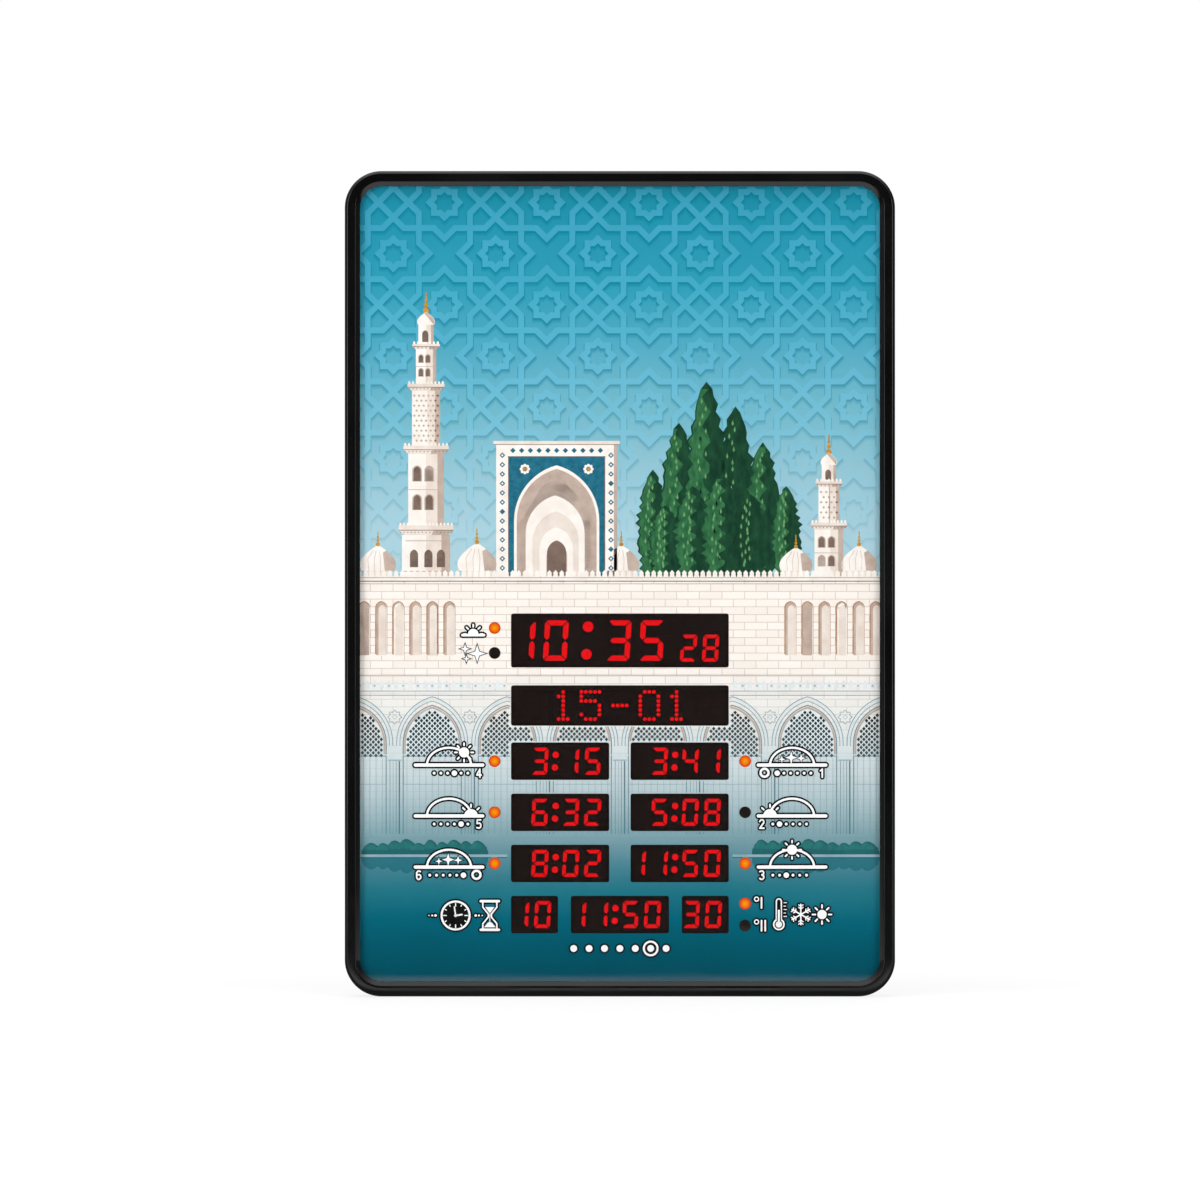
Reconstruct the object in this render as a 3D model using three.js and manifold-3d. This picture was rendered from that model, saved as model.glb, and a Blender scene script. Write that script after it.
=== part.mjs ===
import * as THREE from 'three';
import { mergeGeometries, mergeVertices } from 'three/addons/utils/BufferGeometryUtils.js';
import Module from 'manifold-3d';

// Wall-hung azan clock. Millimetres, +Z up, the front faces -Y.
// The origin is the centre of the rear face, on the plane of the wall.
// Depths are counted from the front of the bezel back towards the wall.

// Case
const caseWidth = 400;
const caseHeight = 600;
const caseDepth = 36;
const caseCornerRadius = 26.7;
const caseWall = 2.2;
const leastCornerRadius = 2;

// Clearances
const seatGap = 0.25;
const runningGap = 0.4;
const overrun = 1;
const joinDepth = 0.4;
const weldDistance = 0.001;

// Bezel profile
const bezelDepth = 20;
const bezelBorder = 11.1;
const bezelLipDepth = 3.2;
const outerBevelWidth = 2;
const outerBevelDrop = 2.2;
const innerBevelWidth = 3.3;
const innerBevelDrop = 2.7;
const landRounding = 0.8;

// Case screws and the bosses that take them
const screwInset = 5;
const screwEndDistance = 60;
const screwShankRadius = 1.2;
const screwShankLength = 11;
const screwHeadRadius = 2.5;
const screwHeadHeight = 1.8;
const bossRadius = 3;
const bossBoreRadius = 1.6;

// Layers behind the lip
const panelThickness = 3;
const printThickness = 0.4;
const filterThickness = 1;
const filterMargin = 5;
const moduleDepth = 8;
const boardThickness = 1.6;

// Windows of the printed sheet. Their heights are lifts from the lower edge of the case.
const displayWidth = 158.4;
const columnGap = 15.5;
const windowCornerRadius = 1;
const timeWindowHeight = 39.3;
const timeWindowLift = 258.7;
const dateWindowHeight = 29.4;
const dateWindowLift = 211.4;
const rowWindowHeight = 27.3;
const firstRowLift = 170.9;
const rowPitch = 37.2;
const pairWindowShare = 0.2159;
const moduleMargin = 2;

// Large digits: widths are shares of the display's width, heights are shares of the window's
const slantShare = 0.061;
const largeShares = {
  digitWidth: 0.1092,
  digitHeight: 0.7506,
  pitch: 0.1515,
  colonGap: 0.137,
  centre: -0.1496,
  split: 0.2588,
  colonSpacing: 0.509,
  corner: 0.4,
};
const largeStroke = 4.2;
const largeColonRadius = 3.9;

// Small digits: widths are shares of a four-digit window's width, heights are shares of its height
const smallShares = {
  digitWidth: 0.1637,
  digitHeight: 0.7216,
  pitch: 0.2239,
  colonGap: 0.0896,
  fourOffset: -0.049,
  pairOffset: -0.0294,
  secondsOffset: -0.0448,
  secondsDrop: 0.2051,
  colonSpacing: 0.337,
};
const smallStroke = 2.9;
const smallColonRadius = 2.4;
const segmentGap = 0.35;
const segmentDepth = 0.6;

// Dot-matrix modules
const matrixColumns = 6;
const matrixRows = 8;

// Round lamps
const lampSideGap = 11.9;
const lampRadius = 4;
const lampFlangeRadius = 4.6;
const lampFlangeHeight = 1.2;
const lampHoleGap = 0.3;
const timeLampSpacing = 18.2;
const unitLampSpacing = 16;

// Display board and the posts that carry it
const boardSideMargin = 6.4;
const boardTopMargin = 10;
const boardBottomMargin = 12;
const boardPostInset = 6;
const postRadius = 3;
const spigotRadius = 1.3;
const spigotRise = 1.2;
const socketWidth = 9;
const socketHeight = 6;
const socketDepth = 5;
const chipWidth = 22;
const chipHeight = 12;
const chipDepth = 2.4;

// Rear cover
const flangeThickness = 2.4;
const flangeEdgeGap = 0.3;
const trayEdge = 2.6;
const stiffenerWidth = 1.6;
const stiffenerHeight = 3;
const stiffenerX = 62;
const stiffenerEdgeDistance = 38;
const stiffenerRise = 51.7;
const ventCount = 5;
const ventWidth = 3;
const ventLength = 26;
const ventPitch = 8;
const ventX = 0;
const upperVentDrop = 180;
const lowerVentLift = 38;

// Keyholes
const keyholeX = 120;
const keyholeDrop = 85;
const keyholeHeadRadius = 4.9;
const keyholeSlotRadius = 2.5;
const keyholeRise = 11;
const keyholePadMargin = 5;
const keyholePadThickness = 1.6;

// Speaker
const speakerLift = 150;
const speakerRadius = 33;
const basketDepth = 11.5;
const basketSheet = 1.2;
const basketRimThickness = 1.5;
const basketRimWidth = 4.2;
const basketWellDepth = 3.4;
const basketSeatRadius = 19.4;
const basketWindowShares = { reach: 0.4, centre: 0.68, depth: 0.56 };
const basketWindowWidth = 17;
const basketWindowHeight = 4.6;
const coneTravel = 0.5;
const conePaper = 0.7;
const coilRadius = 7.2;
const coilThickness = 0.7;
const coilLength = 6;
const capRise = 3;
const magnetRadius = 20;
const magnetPlateRadius = 17.5;
const magnetPlateThickness = 1.9;
const magnetThickness = 5;
const magnetGapWidth = 0.7;
const grilleDrop = 2.5;
const grilleMargin = 2;
const grilleSlotWidth = 3;
const grilleSlotPitch = 5.8;
const grilleSlotCount = 9;
const collarThickness = 1.6;
const collarHeight = 4;
const outletWidth = 34;

// Back-up cells and their bay
const bayLift = 150;
const cellRadius = 7.1;
const cellLength = 50.5;
const cellNubRadius = 2.7;
const cellNubHeight = 1.3;
const cellRim = 0.6;
const contactReach = 3;
const contactSheet = 0.4;
const contactHeight = 9;
const baySideGap = 0.5;
const bayLedge = 2.3;
const bayFloor = 1.6;
const doorThickness = 1.8;
const doorHookWidth = 8;
const doorHookThickness = 1.4;
const doorHookReach = 2.2;
const doorHookX = 20;
const doorNotchRadius = 8;
const doorNotchDrop = 0.9;
const doorTongueWidth = 12;
const doorTongueDepth = 5;

// Keys and the key board
const keyCount = 5;
const keyPitch = 16;
const keyRowLift = 360;
const keyCapLength = 10;
const keyCapHeight = 6;
const keyCapRounding = 2.4;
const keyProud = 1.6;
const keyFlangeMargin = 1.3;
const keyFlangeThickness = 1.4;
const keyStemRadius = 1.5;
const keyStemEngagement = 0.8;
const keyTravel = 0.8;
const switchSize = 6;
const switchHeight = 4.3;
const keyBoardMargin = 13;
const keyBoardHeight = 14;
const bracketWidth = 5;
const bracketWall = 2;

// Power inlet
const jackX = 60;
const jackWidth = 9;
const jackLength = 14;
const jackCollarRadius = 4;
const jackBoreRadius = 2.75;
const jackBoreDepth = 9.5;
const jackPinRadius = 1.05;
const cradleWall = 1.8;

// Thermistor
const thermistorX = -60;
const thermistorRadius = 1.9;
const thermistorLegRadius = 0.4;
const thermistorLegLength = 5;

// Leads inside the case
const leadRadius = 1.3;
const leadSides = 8;
const leadSteps = 8;

// Facet counts
const cornerSteps = 7;
const postSides = 8;
const lampSides = 8;
const speakerSides = 20;
const cellSides = 12;
const dotSides = 8;

// Depths of the layers, from the front of the bezel
const panelFront = bezelLipDepth + seatGap;
const panelBack = panelFront + panelThickness;
const printFront = panelBack + seatGap;
const printBack = printFront + printThickness;
const filterFront = printBack + seatGap;
const filterBack = filterFront + filterThickness;
const moduleFront = filterBack + seatGap;
const moduleBack = moduleFront + moduleDepth;
const boardFront = moduleBack + seatGap;
const boardBack = boardFront + boardThickness;
const rearInner = caseDepth - caseWall;
const flangeFront = bezelDepth - flangeThickness;

// Insets from the outline of the bezel
const panelInset = screwInset + bossRadius + seatGap;
const trayInset = screwInset + bossRadius + runningGap;
const trayInnerInset = trayInset + caseWall;
const trayOuterX = caseWidth / 2 - trayInset;
const trayInnerX = caseWidth / 2 - trayInnerInset;
const trayOuterZ = caseHeight / 2 - trayInset;
const trayInnerZ = caseHeight / 2 - trayInnerInset;

// Window and board layout
const timeWindowZ = timeWindowLift - caseHeight / 2;
const dateWindowZ = dateWindowLift - caseHeight / 2;
const firstRowZ = firstRowLift - caseHeight / 2;
const bottomRowZ = firstRowZ - 3 * rowPitch;
const fourWindowWidth = (displayWidth - columnGap) / 2;
const columnX = (fourWindowWidth + columnGap) / 2;
const pairWindowWidth = displayWidth * pairWindowShare;
const pairX = (displayWidth - pairWindowWidth) / 2;
const lampX = displayWidth / 2 + lampSideGap;
const boardHalfWidth = lampX + boardSideMargin;
const boardTopZ = timeWindowZ + timeWindowHeight / 2 + boardTopMargin;
const boardBottomZ = bottomRowZ - rowWindowHeight / 2 - boardBottomMargin;
const postX = boardHalfWidth - boardPostInset;
const postPlaces = [boardTopZ - boardPostInset, dateWindowZ, boardBottomZ + boardPostInset]
  .flatMap((z) => [[-postX, z], [postX, z]]);

// Digits
const largeDigitWidth = displayWidth * largeShares.digitWidth;
const largeDigitHeight = timeWindowHeight * largeShares.digitHeight;
const largePitch = displayWidth * largeShares.pitch;
const largeColonGap = displayWidth * largeShares.colonGap;
const largeColonSpacing = timeWindowHeight * largeShares.colonSpacing;
const timeDigitsX = displayWidth * largeShares.centre;
const timeSplitX = displayWidth * largeShares.split;
const smallDigitWidth = fourWindowWidth * smallShares.digitWidth;
const smallDigitHeight = rowWindowHeight * smallShares.digitHeight;
const smallPitch = fourWindowWidth * smallShares.pitch;
const smallColonGap = fourWindowWidth * smallShares.colonGap;
const smallColonSpacing = rowWindowHeight * smallShares.colonSpacing;
const pairDigitsOffset = fourWindowWidth * smallShares.pairOffset;
const secondsOffset = fourWindowWidth * smallShares.secondsOffset;
const secondsDrop = rowWindowHeight * smallShares.secondsDrop;
const matrixDotPitch = displayWidth / (matrixColumns * matrixRows);

// Rear fittings: the speaker and the bay stand midway between the board and the side walls
const sideRoomX = (boardHalfWidth + trayInnerX) / 2;
const speakerX = -sideRoomX;
const speakerZ = speakerLift - caseHeight / 2;
const bayX = sideRoomX;
const bayZ = bayLift - caseHeight / 2;
const keyRowZ = keyRowLift - caseHeight / 2;
const keyholeZ = caseHeight / 2 - keyholeDrop;
const upperVentZ = caseHeight / 2 - upperVentDrop;
const lowerVentZ = lowerVentLift - caseHeight / 2;
const stiffenerTopZ = caseHeight / 2 - stiffenerEdgeDistance;
const stiffenerMiddleZ = boardTopZ + stiffenerRise;

// Screw places on the two long sides
const screwX = caseWidth / 2 - screwInset;
const screwEndZ = caseHeight / 2 - screwEndDistance;
const screwPlaces = [screwEndZ, 0, -screwEndZ].flatMap((z) => [[-screwX, z], [screwX, z]]);

const wasm = await Module();
wasm.setup();

// Turns a geometry into an indexed one with welded corners, no flat triangles and faces pointing out.
function tidy(geometry) {
  const bare = geometry.clone();
  for (const name of Object.keys(bare.attributes)) {
    if (name !== 'position') {
      bare.deleteAttribute(name);
    }
  }
  const welded = mergeVertices(bare, weldDistance);
  const position = welded.getAttribute('position');
  const corners = Array.from(welded.getIndex().array);
  const kept = [];
  const a = new THREE.Vector3();
  const b = new THREE.Vector3();
  const c = new THREE.Vector3();
  let volume = 0;
  for (let i = 0; i < corners.length; i += 3) {
    const [p, q, r] = corners.slice(i, i + 3);
    if (p !== q && q !== r && r !== p) {
      kept.push(p, q, r);
      a.fromBufferAttribute(position, p);
      b.fromBufferAttribute(position, q);
      c.fromBufferAttribute(position, r);
      volume += a.dot(b.cross(c));
    }
  }
  if (volume < 0) {
    kept.reverse();
  }
  welded.setIndex(kept);
  return welded;
}

function toSolid(geometry) {
  const closed = tidy(geometry);
  return new wasm.Manifold(new wasm.Mesh({
    numProp: 3,
    vertProperties: new Float32Array(closed.getAttribute('position').array),
    triVerts: new Uint32Array(closed.getIndex().array),
  }));
}

function toGeometry(solid) {
  const mesh = solid.getMesh();
  const geometry = new THREE.BufferGeometry();
  geometry.setAttribute('position', new THREE.BufferAttribute(mesh.vertProperties, 3));
  geometry.setIndex(new THREE.BufferAttribute(mesh.triVerts, 1));
  return geometry;
}

// Joins the added geometries to a body, then cuts the removed ones from it.
function shaped(body, added, removed) {
  let solid = toSolid(body);
  for (const geometry of added) {
    solid = solid.add(toSolid(geometry));
  }
  for (const geometry of removed) {
    solid = solid.subtract(toSolid(geometry));
  }
  return toGeometry(solid);
}

// One loop of points round the case outline, drawn in by an inset.
function caseLoop(inset, depth) {
  const radius = Math.max(caseCornerRadius - inset, leastCornerRadius);
  const halfWidth = caseWidth / 2 - inset - radius;
  const halfHeight = caseHeight / 2 - inset - radius;
  const points = [];
  const corners = [[1, 1], [-1, 1], [-1, -1], [1, -1]];
  corners.forEach(([sideX, sideZ], quarter) => {
    for (let step = 0; step <= cornerSteps; step += 1) {
      const angle = (quarter + step / cornerSteps) * Math.PI / 2;
      points.push(new THREE.Vector3(
        sideX * halfWidth + radius * Math.cos(angle),
        depth - caseDepth,
        sideZ * halfHeight + radius * Math.sin(angle),
      ));
    }
  });
  return points;
}

// Skins a stack of loops. It closes on itself as a ring, or is capped at both ends.
function skinned(loops, isRing) {
  const count = loops[0].length;
  const index = [];
  const rows = isRing ? loops.length : loops.length - 1;
  for (let row = 0; row < rows; row += 1) {
    const next = (row + 1) % loops.length;
    for (let column = 0; column < count; column += 1) {
      const after = (column + 1) % count;
      index.push(row * count + column, row * count + after, next * count + after);
      index.push(row * count + column, next * count + after, next * count + column);
    }
  }
  if (!isRing) {
    const last = (loops.length - 1) * count;
    for (let column = 1; column < count - 1; column += 1) {
      index.push(0, column + 1, column);
      index.push(last, last + column, last + column + 1);
    }
  }
  const geometry = new THREE.BufferGeometry().setFromPoints(loops.flat());
  geometry.setIndex(index);
  return geometry;
}

function caseRing(profile) {
  return skinned(profile.map(([inset, depth]) => caseLoop(inset, depth)), true);
}

function caseStack(profile) {
  return skinned(profile.map(([inset, depth]) => caseLoop(inset, depth)), false);
}

// Extrudes a shape drawn in X and Z between two depths.
function slab(shape, frontDepth, backDepth, curveSegments = 2) {
  const geometry = new THREE.ExtrudeGeometry(shape, {
    depth: backDepth - frontDepth,
    bevelEnabled: false,
    curveSegments,
  });
  geometry.rotateX(Math.PI / 2);
  geometry.translate(0, backDepth - caseDepth, 0);
  return geometry;
}

function roundedOutline(x, z, width, height, radius) {
  const shape = new THREE.Shape();
  const left = x - width / 2 + radius;
  const right = x + width / 2 - radius;
  const low = z - height / 2 + radius;
  const high = z + height / 2 - radius;
  shape.absarc(right, high, radius, 0, Math.PI / 2, false);
  shape.absarc(left, high, radius, Math.PI / 2, Math.PI, false);
  shape.absarc(left, low, radius, Math.PI, Math.PI * 1.5, false);
  shape.absarc(right, low, radius, Math.PI * 1.5, Math.PI * 2, false);
  return shape;
}

function block(x, z, width, height, frontDepth, backDepth) {
  const geometry = new THREE.BoxGeometry(width, backDepth - frontDepth, height);
  geometry.translate(x, (frontDepth + backDepth) / 2 - caseDepth, z);
  return geometry;
}

function post(x, z, radius, frontDepth, backDepth, sides = postSides) {
  const geometry = new THREE.CylinderGeometry(radius, radius, backDepth - frontDepth, sides);
  geometry.translate(x, (frontDepth + backDepth) / 2 - caseDepth, z);
  return geometry;
}

function lathe(profile, sides) {
  return new THREE.LatheGeometry(profile.map(([radius, height]) => new THREE.Vector2(radius, height)), sides);
}

function finish(color, roughness, metalness) {
  return new THREE.MeshStandardMaterial({ color, roughness, metalness });
}

const glossBlack = finish('#15141a', 0.28, 0);
const clearAcrylic = finish('#dfe9ee', 0.06, 0);
const printedFilm = finish('#6fb6c8', 0.4, 0);
const smokedFilm = finish('#231815', 0.2, 0);
const mouldedBlack = finish('#1b1b1d', 0.62, 0);
const moduleBlack = finish('#231815', 0.5, 0);
const lampOrange = finish('#f39800', 0.25, 0);
const boardGreen = finish('#1f5a3a', 0.5, 0);
const bareSteel = finish('#b9bcc0', 0.35, 1);
const blackSteel = finish('#2a2b2e', 0.45, 0.8);
const keyRubber = finish('#2b2b2e', 0.8, 0);
const paperCone = finish('#2c2926', 0.9, 0);
const magnetFerrite = finish('#3a3a3d', 0.6, 0.3);
const cellWrap = finish('#3f6f8f', 0.4, 0.2);
const blackPlug = finish('#111113', 0.5, 0);
const beadGlaze = finish('#2f6b4f', 0.4, 0);
const leadSheath = finish('#1c1c1e', 0.55, 0);

const clock = new THREE.Group();

function place(parent, name, geometry, material) {
  const mesh = new THREE.Mesh(tidy(geometry), material);
  mesh.name = name;
  parent.add(mesh);
  return mesh;
}

// Front bezel: a lip and side wall swept round the outline, with screw bosses behind the lip.
const bevelShares = { width: 0.3, drop: 0.36 };
const innerBevelStart = bezelBorder - innerBevelWidth;
const bezelProfile = [
  [0, bezelDepth],
  [0, outerBevelDrop],
  [outerBevelWidth * bevelShares.width, outerBevelDrop * bevelShares.drop],
  [outerBevelWidth, 0],
  [innerBevelStart - landRounding, 0],
  [innerBevelStart, landRounding * bevelShares.drop],
  [bezelBorder, innerBevelDrop],
  [bezelBorder, bezelLipDepth],
  [caseWall, bezelLipDepth],
  [caseWall, bezelDepth],
];
const bosses = screwPlaces.map(([x, z]) => post(
  x, z, bossRadius, bezelLipDepth - joinDepth, flangeFront - seatGap,
));
const bossBores = screwPlaces.map(([x, z]) => post(
  x, z, bossBoreRadius, bezelLipDepth + caseWall, flangeFront + overrun,
));
const caseGroup = new THREE.Group();
clock.add(caseGroup);
place(caseGroup, 'front_bezel', shaped(caseRing(bezelProfile), bosses, bossBores), glossBlack);

// Case screws, driven from behind through the flange of the cover.
const screwProfile = [
  [0, -screwShankLength],
  [screwShankRadius, -screwShankLength],
  [screwShankRadius, 0],
  [screwHeadRadius, 0],
  [screwHeadRadius, screwHeadHeight / 2],
  [screwHeadRadius - screwHeadHeight / 2, screwHeadHeight],
  [0, screwHeadHeight],
];
const screwLevels = ['upper', 'middle', 'lower'];
screwPlaces.forEach(([x, z], i) => {
  const side = x < 0 ? 'left' : 'right';
  const screw = place(caseGroup, `case_screw_${screwLevels[Math.floor(i / 2)]}_${side}`,
    lathe(screwProfile, postSides), blackSteel);
  screw.position.set(x, bezelDepth + seatGap - caseDepth, z);
});

// Clear panel behind the lip.
place(caseGroup, 'face_panel', caseStack([[panelInset, panelFront], [panelInset, panelBack]]), clearAcrylic);

// Lamps beside the windows.
const lampPlaces = {
  am_lamp: [-lampX, timeWindowZ + timeLampSpacing / 2],
  pm_lamp: [-lampX, timeWindowZ - timeLampSpacing / 2],
  asr_lamp: [-lampX, firstRowZ],
  maghrib_lamp: [-lampX, firstRowZ - rowPitch],
  isha_lamp: [-lampX, firstRowZ - 2 * rowPitch],
  fajr_lamp: [lampX, firstRowZ],
  sunrise_lamp: [lampX, firstRowZ - rowPitch],
  dhuhr_lamp: [lampX, firstRowZ - 2 * rowPitch],
  celsius_lamp: [lampX, bottomRowZ + unitLampSpacing / 2],
  fahrenheit_lamp: [lampX, bottomRowZ - unitLampSpacing / 2],
};
const displayGroup = new THREE.Group();
clock.add(displayGroup);
const lampHeight = boardFront - seatGap - panelBack - seatGap;
const lampProfile = [
  [0, 0],
  [lampFlangeRadius, 0],
  [lampFlangeRadius, -lampFlangeHeight],
  [lampRadius, -lampFlangeHeight],
  [lampRadius, lampRadius - lampHeight],
  [lampRadius * Math.cos(Math.PI / 4), lampRadius * (1 - Math.sin(Math.PI / 4)) - lampHeight],
  [0, -lampHeight],
];
for (const [name, [x, z]] of Object.entries(lampPlaces)) {
  const lamp = place(displayGroup, name, lathe(lampProfile, lampSides), lampOrange);
  lamp.position.set(x, boardFront - seatGap - caseDepth, z);
}

// Printed sheet with a hole for each window and lamp.
const windows = [
  [0, timeWindowZ, displayWidth, timeWindowHeight],
  [0, dateWindowZ, displayWidth, dateWindowHeight],
  [0, bottomRowZ, fourWindowWidth, rowWindowHeight],
  [-pairX, bottomRowZ, pairWindowWidth, rowWindowHeight],
  [pairX, bottomRowZ, pairWindowWidth, rowWindowHeight],
];
for (let row = 0; row < 3; row += 1) {
  windows.push([-columnX, firstRowZ - row * rowPitch, fourWindowWidth, rowWindowHeight]);
  windows.push([columnX, firstRowZ - row * rowPitch, fourWindowWidth, rowWindowHeight]);
}
const windowCuts = windows.map(([x, z, width, height]) => slab(
  roundedOutline(x, z, width, height, windowCornerRadius), printFront - overrun, printBack + overrun, 1,
));
const lampCuts = Object.values(lampPlaces).map(([x, z]) => post(
  x, z, lampRadius + lampHoleGap, printFront - overrun, printBack + overrun, lampSides,
));
place(caseGroup, 'print_sheet', shaped(
  caseStack([[panelInset, printFront], [panelInset, printBack]]),
  [],
  [mergeGeometries([...windowCuts.map(tidy), ...lampCuts.map(tidy)])],
), printedFilm);

// Smoked filter behind the windows.
const filterTop = timeWindowZ + timeWindowHeight / 2 + filterMargin;
const filterBottom = bottomRowZ - rowWindowHeight / 2 - filterMargin;
place(displayGroup, 'display_filter', block(
  0, (filterTop + filterBottom) / 2, displayWidth + 2 * filterMargin, filterTop - filterBottom,
  filterFront, filterBack,
), smokedFilm);

// The seven segments of one digit, mitred at the corners, leaning to the right.
function segmentShapes(x, z, width, height, stroke, cornerShare) {
  const cut = stroke * cornerShare;
  const right = width / 2;
  const top = height / 2;
  const gap = segmentGap;
  const bevelled = cut > 0;
  const across = [
    [-right + cut + gap, top], [right - cut - gap, top],
    ...(bevelled ? [[right - cut / 2 - gap, top - cut / 2]] : []),
    [right - stroke - gap, top - stroke], [-right + stroke + gap, top - stroke],
    ...(bevelled ? [[-right + cut / 2 + gap, top - cut / 2]] : []),
  ];
  const upright = [
    [right, top - cut - gap],
    ...(bevelled ? [[right, stroke / 2 + gap], [right - stroke / 2, gap]] : [[right, gap]]),
    [right - stroke, stroke / 2 + gap], [right - stroke, top - stroke - gap],
    ...(bevelled ? [[right - cut / 2, top - cut / 2 - gap]] : []),
  ];
  const middle = [
    [-right + stroke / 2 + gap, 0], [-right + stroke + gap, stroke / 2],
    [right - stroke - gap, stroke / 2], [right - stroke / 2 - gap, 0],
    [right - stroke - gap, -stroke / 2], [-right + stroke + gap, -stroke / 2],
  ];
  const mirrored = (points, signX, signZ) => points.map(([px, pz]) => [signX * px, signZ * pz]);
  const outlines = [
    across,
    mirrored(across, 1, -1),
    middle,
    upright,
    mirrored(upright, -1, 1),
    mirrored(upright, 1, -1),
    mirrored(upright, -1, -1),
  ];
  return outlines.map((points) => new THREE.Shape(points.map(([px, pz]) => new THREE.Vector2(
    x + px + pz * slantShare, z + pz,
  ))));
}

function dotShape(x, z, radius) {
  const shape = new THREE.Shape();
  shape.absarc(x, z, radius, 0, Math.PI * 2, false);
  return shape;
}

// A display module: a block whose front face has the segments sunk into it.
function displayModule(x, z, width, height, shapes) {
  const body = block(x, z, width, height, moduleFront, moduleBack);
  const pockets = shapes.map((shape) => tidy(slab(
    shape, moduleFront - overrun, moduleFront + segmentDepth, dotSides,
  )));
  return shaped(body, [], [mergeGeometries(pockets)]);
}

function fourDigits(x, z, width, height, stroke, cornerShare, pitch, colonGap, colonRadius, colonSpacing) {
  const near = (colonGap + pitch) / 2;
  const places = [-near - pitch, -near, near, near + pitch];
  return [
    ...places.flatMap((digitX) => segmentShapes(x + digitX, z, width, height, stroke, cornerShare)),
    dotShape(x + slantShare * colonSpacing / 2, z + colonSpacing / 2, colonRadius),
    dotShape(x - slantShare * colonSpacing / 2, z - colonSpacing / 2, colonRadius),
  ];
}

function smallFour(x, z) {
  const moduleWidth = fourWindowWidth + 2 * moduleMargin;
  const moduleHeight = rowWindowHeight + 2 * moduleMargin;
  return displayModule(x, z, moduleWidth, moduleHeight, fourDigits(
    x + fourWindowWidth * smallShares.fourOffset, z, smallDigitWidth, smallDigitHeight, smallStroke, 0,
    smallPitch, smallColonGap, smallColonRadius, smallColonSpacing,
  ));
}

function smallPair(x, z, digitsX, digitsZ, width, height) {
  return displayModule(x, z, width, height, [
    ...segmentShapes(digitsX - smallPitch / 2, digitsZ, smallDigitWidth, smallDigitHeight, smallStroke, 0),
    ...segmentShapes(digitsX + smallPitch / 2, digitsZ, smallDigitWidth, smallDigitHeight, smallStroke, 0),
  ]);
}

// Time and seconds share the widest window.
const timeLeft = -displayWidth / 2 - moduleMargin;
const timeModuleHeight = timeWindowHeight + 2 * moduleMargin;
place(displayGroup, 'time_display', displayModule(
  (timeLeft + timeSplitX) / 2, timeWindowZ, timeSplitX - timeLeft, timeModuleHeight,
  fourDigits(
    timeDigitsX, timeWindowZ, largeDigitWidth, largeDigitHeight, largeStroke, largeShares.corner,
    largePitch, largeColonGap, largeColonRadius, largeColonSpacing,
  ),
), moduleBlack);
const secondsLeft = timeSplitX + seatGap;
const secondsX = (secondsLeft - timeLeft) / 2;
place(displayGroup, 'seconds_display', smallPair(
  secondsX, timeWindowZ, secondsX + secondsOffset, timeWindowZ - secondsDrop, -timeLeft - secondsLeft,
  timeModuleHeight,
), moduleBlack);

// Six dot-matrix modules, set half a dot low so that seven of their eight rows centre in the window.
const matrixWidth = displayWidth / matrixColumns;
for (let column = 0; column < matrixColumns; column += 1) {
  place(displayGroup, `date_matrix_${column + 1}`, block(
    (column + 0.5) * matrixWidth - displayWidth / 2, dateWindowZ - matrixDotPitch / 2,
    matrixWidth - seatGap, matrixRows * matrixDotPitch, moduleFront, moduleBack,
  ), moduleBlack);
}

// Prayer times in two columns, then the bottom row.
const prayerPlaces = {
  asr_display: [-columnX, 0],
  maghrib_display: [-columnX, 1],
  isha_display: [-columnX, 2],
  fajr_display: [columnX, 0],
  sunrise_display: [columnX, 1],
  dhuhr_display: [columnX, 2],
  jumuah_display: [0, 3],
};
for (const [name, [x, row]] of Object.entries(prayerPlaces)) {
  place(displayGroup, name, smallFour(x, firstRowZ - row * rowPitch), moduleBlack);
}
const pairModuleWidth = pairWindowWidth + 2 * moduleMargin;
const pairModuleHeight = rowWindowHeight + 2 * moduleMargin;
for (const [name, x] of [['iqama_display', -pairX], ['temperature_display', pairX]]) {
  place(displayGroup, name, smallPair(
    x, bottomRowZ, x + pairDigitsOffset, bottomRowZ, pairModuleWidth, pairModuleHeight,
  ), moduleBlack);
}

// Display board, with the sockets and chips soldered to its back.
const socketPlaces = {
  speaker: [-boardHalfWidth + socketWidth, speakerZ],
  battery: [boardHalfWidth - socketWidth, bayZ],
  power: [jackX, boardBottomZ + socketHeight],
  keys: [boardHalfWidth - socketWidth, (boardTopZ - boardPostInset + dateWindowZ) / 2],
};
const sockets = Object.values(socketPlaces).map(([x, z]) => block(
  x, z, socketWidth, socketHeight, boardBack - joinDepth, boardBack + socketDepth,
));
const lowChipZ = bottomRowZ + rowPitch;
const chipPlaces = [[0, dateWindowZ], [-stiffenerX / 2, lowChipZ], [stiffenerX / 2, lowChipZ]];
const chips = chipPlaces.map(([x, z]) => block(
  x, z, chipWidth, chipHeight, boardBack - joinDepth, boardBack + chipDepth,
));
const boardHoles = postPlaces.map(([x, z]) => post(
  x, z, spigotRadius + seatGap, boardFront - overrun, boardBack + overrun,
));
place(displayGroup, 'display_board', shaped(
  block(
    0, (boardTopZ + boardBottomZ) / 2, 2 * boardHalfWidth, boardTopZ - boardBottomZ,
    boardFront, boardBack,
  ),
  [...sockets, ...chips],
  boardHoles,
), boardGreen);

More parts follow.
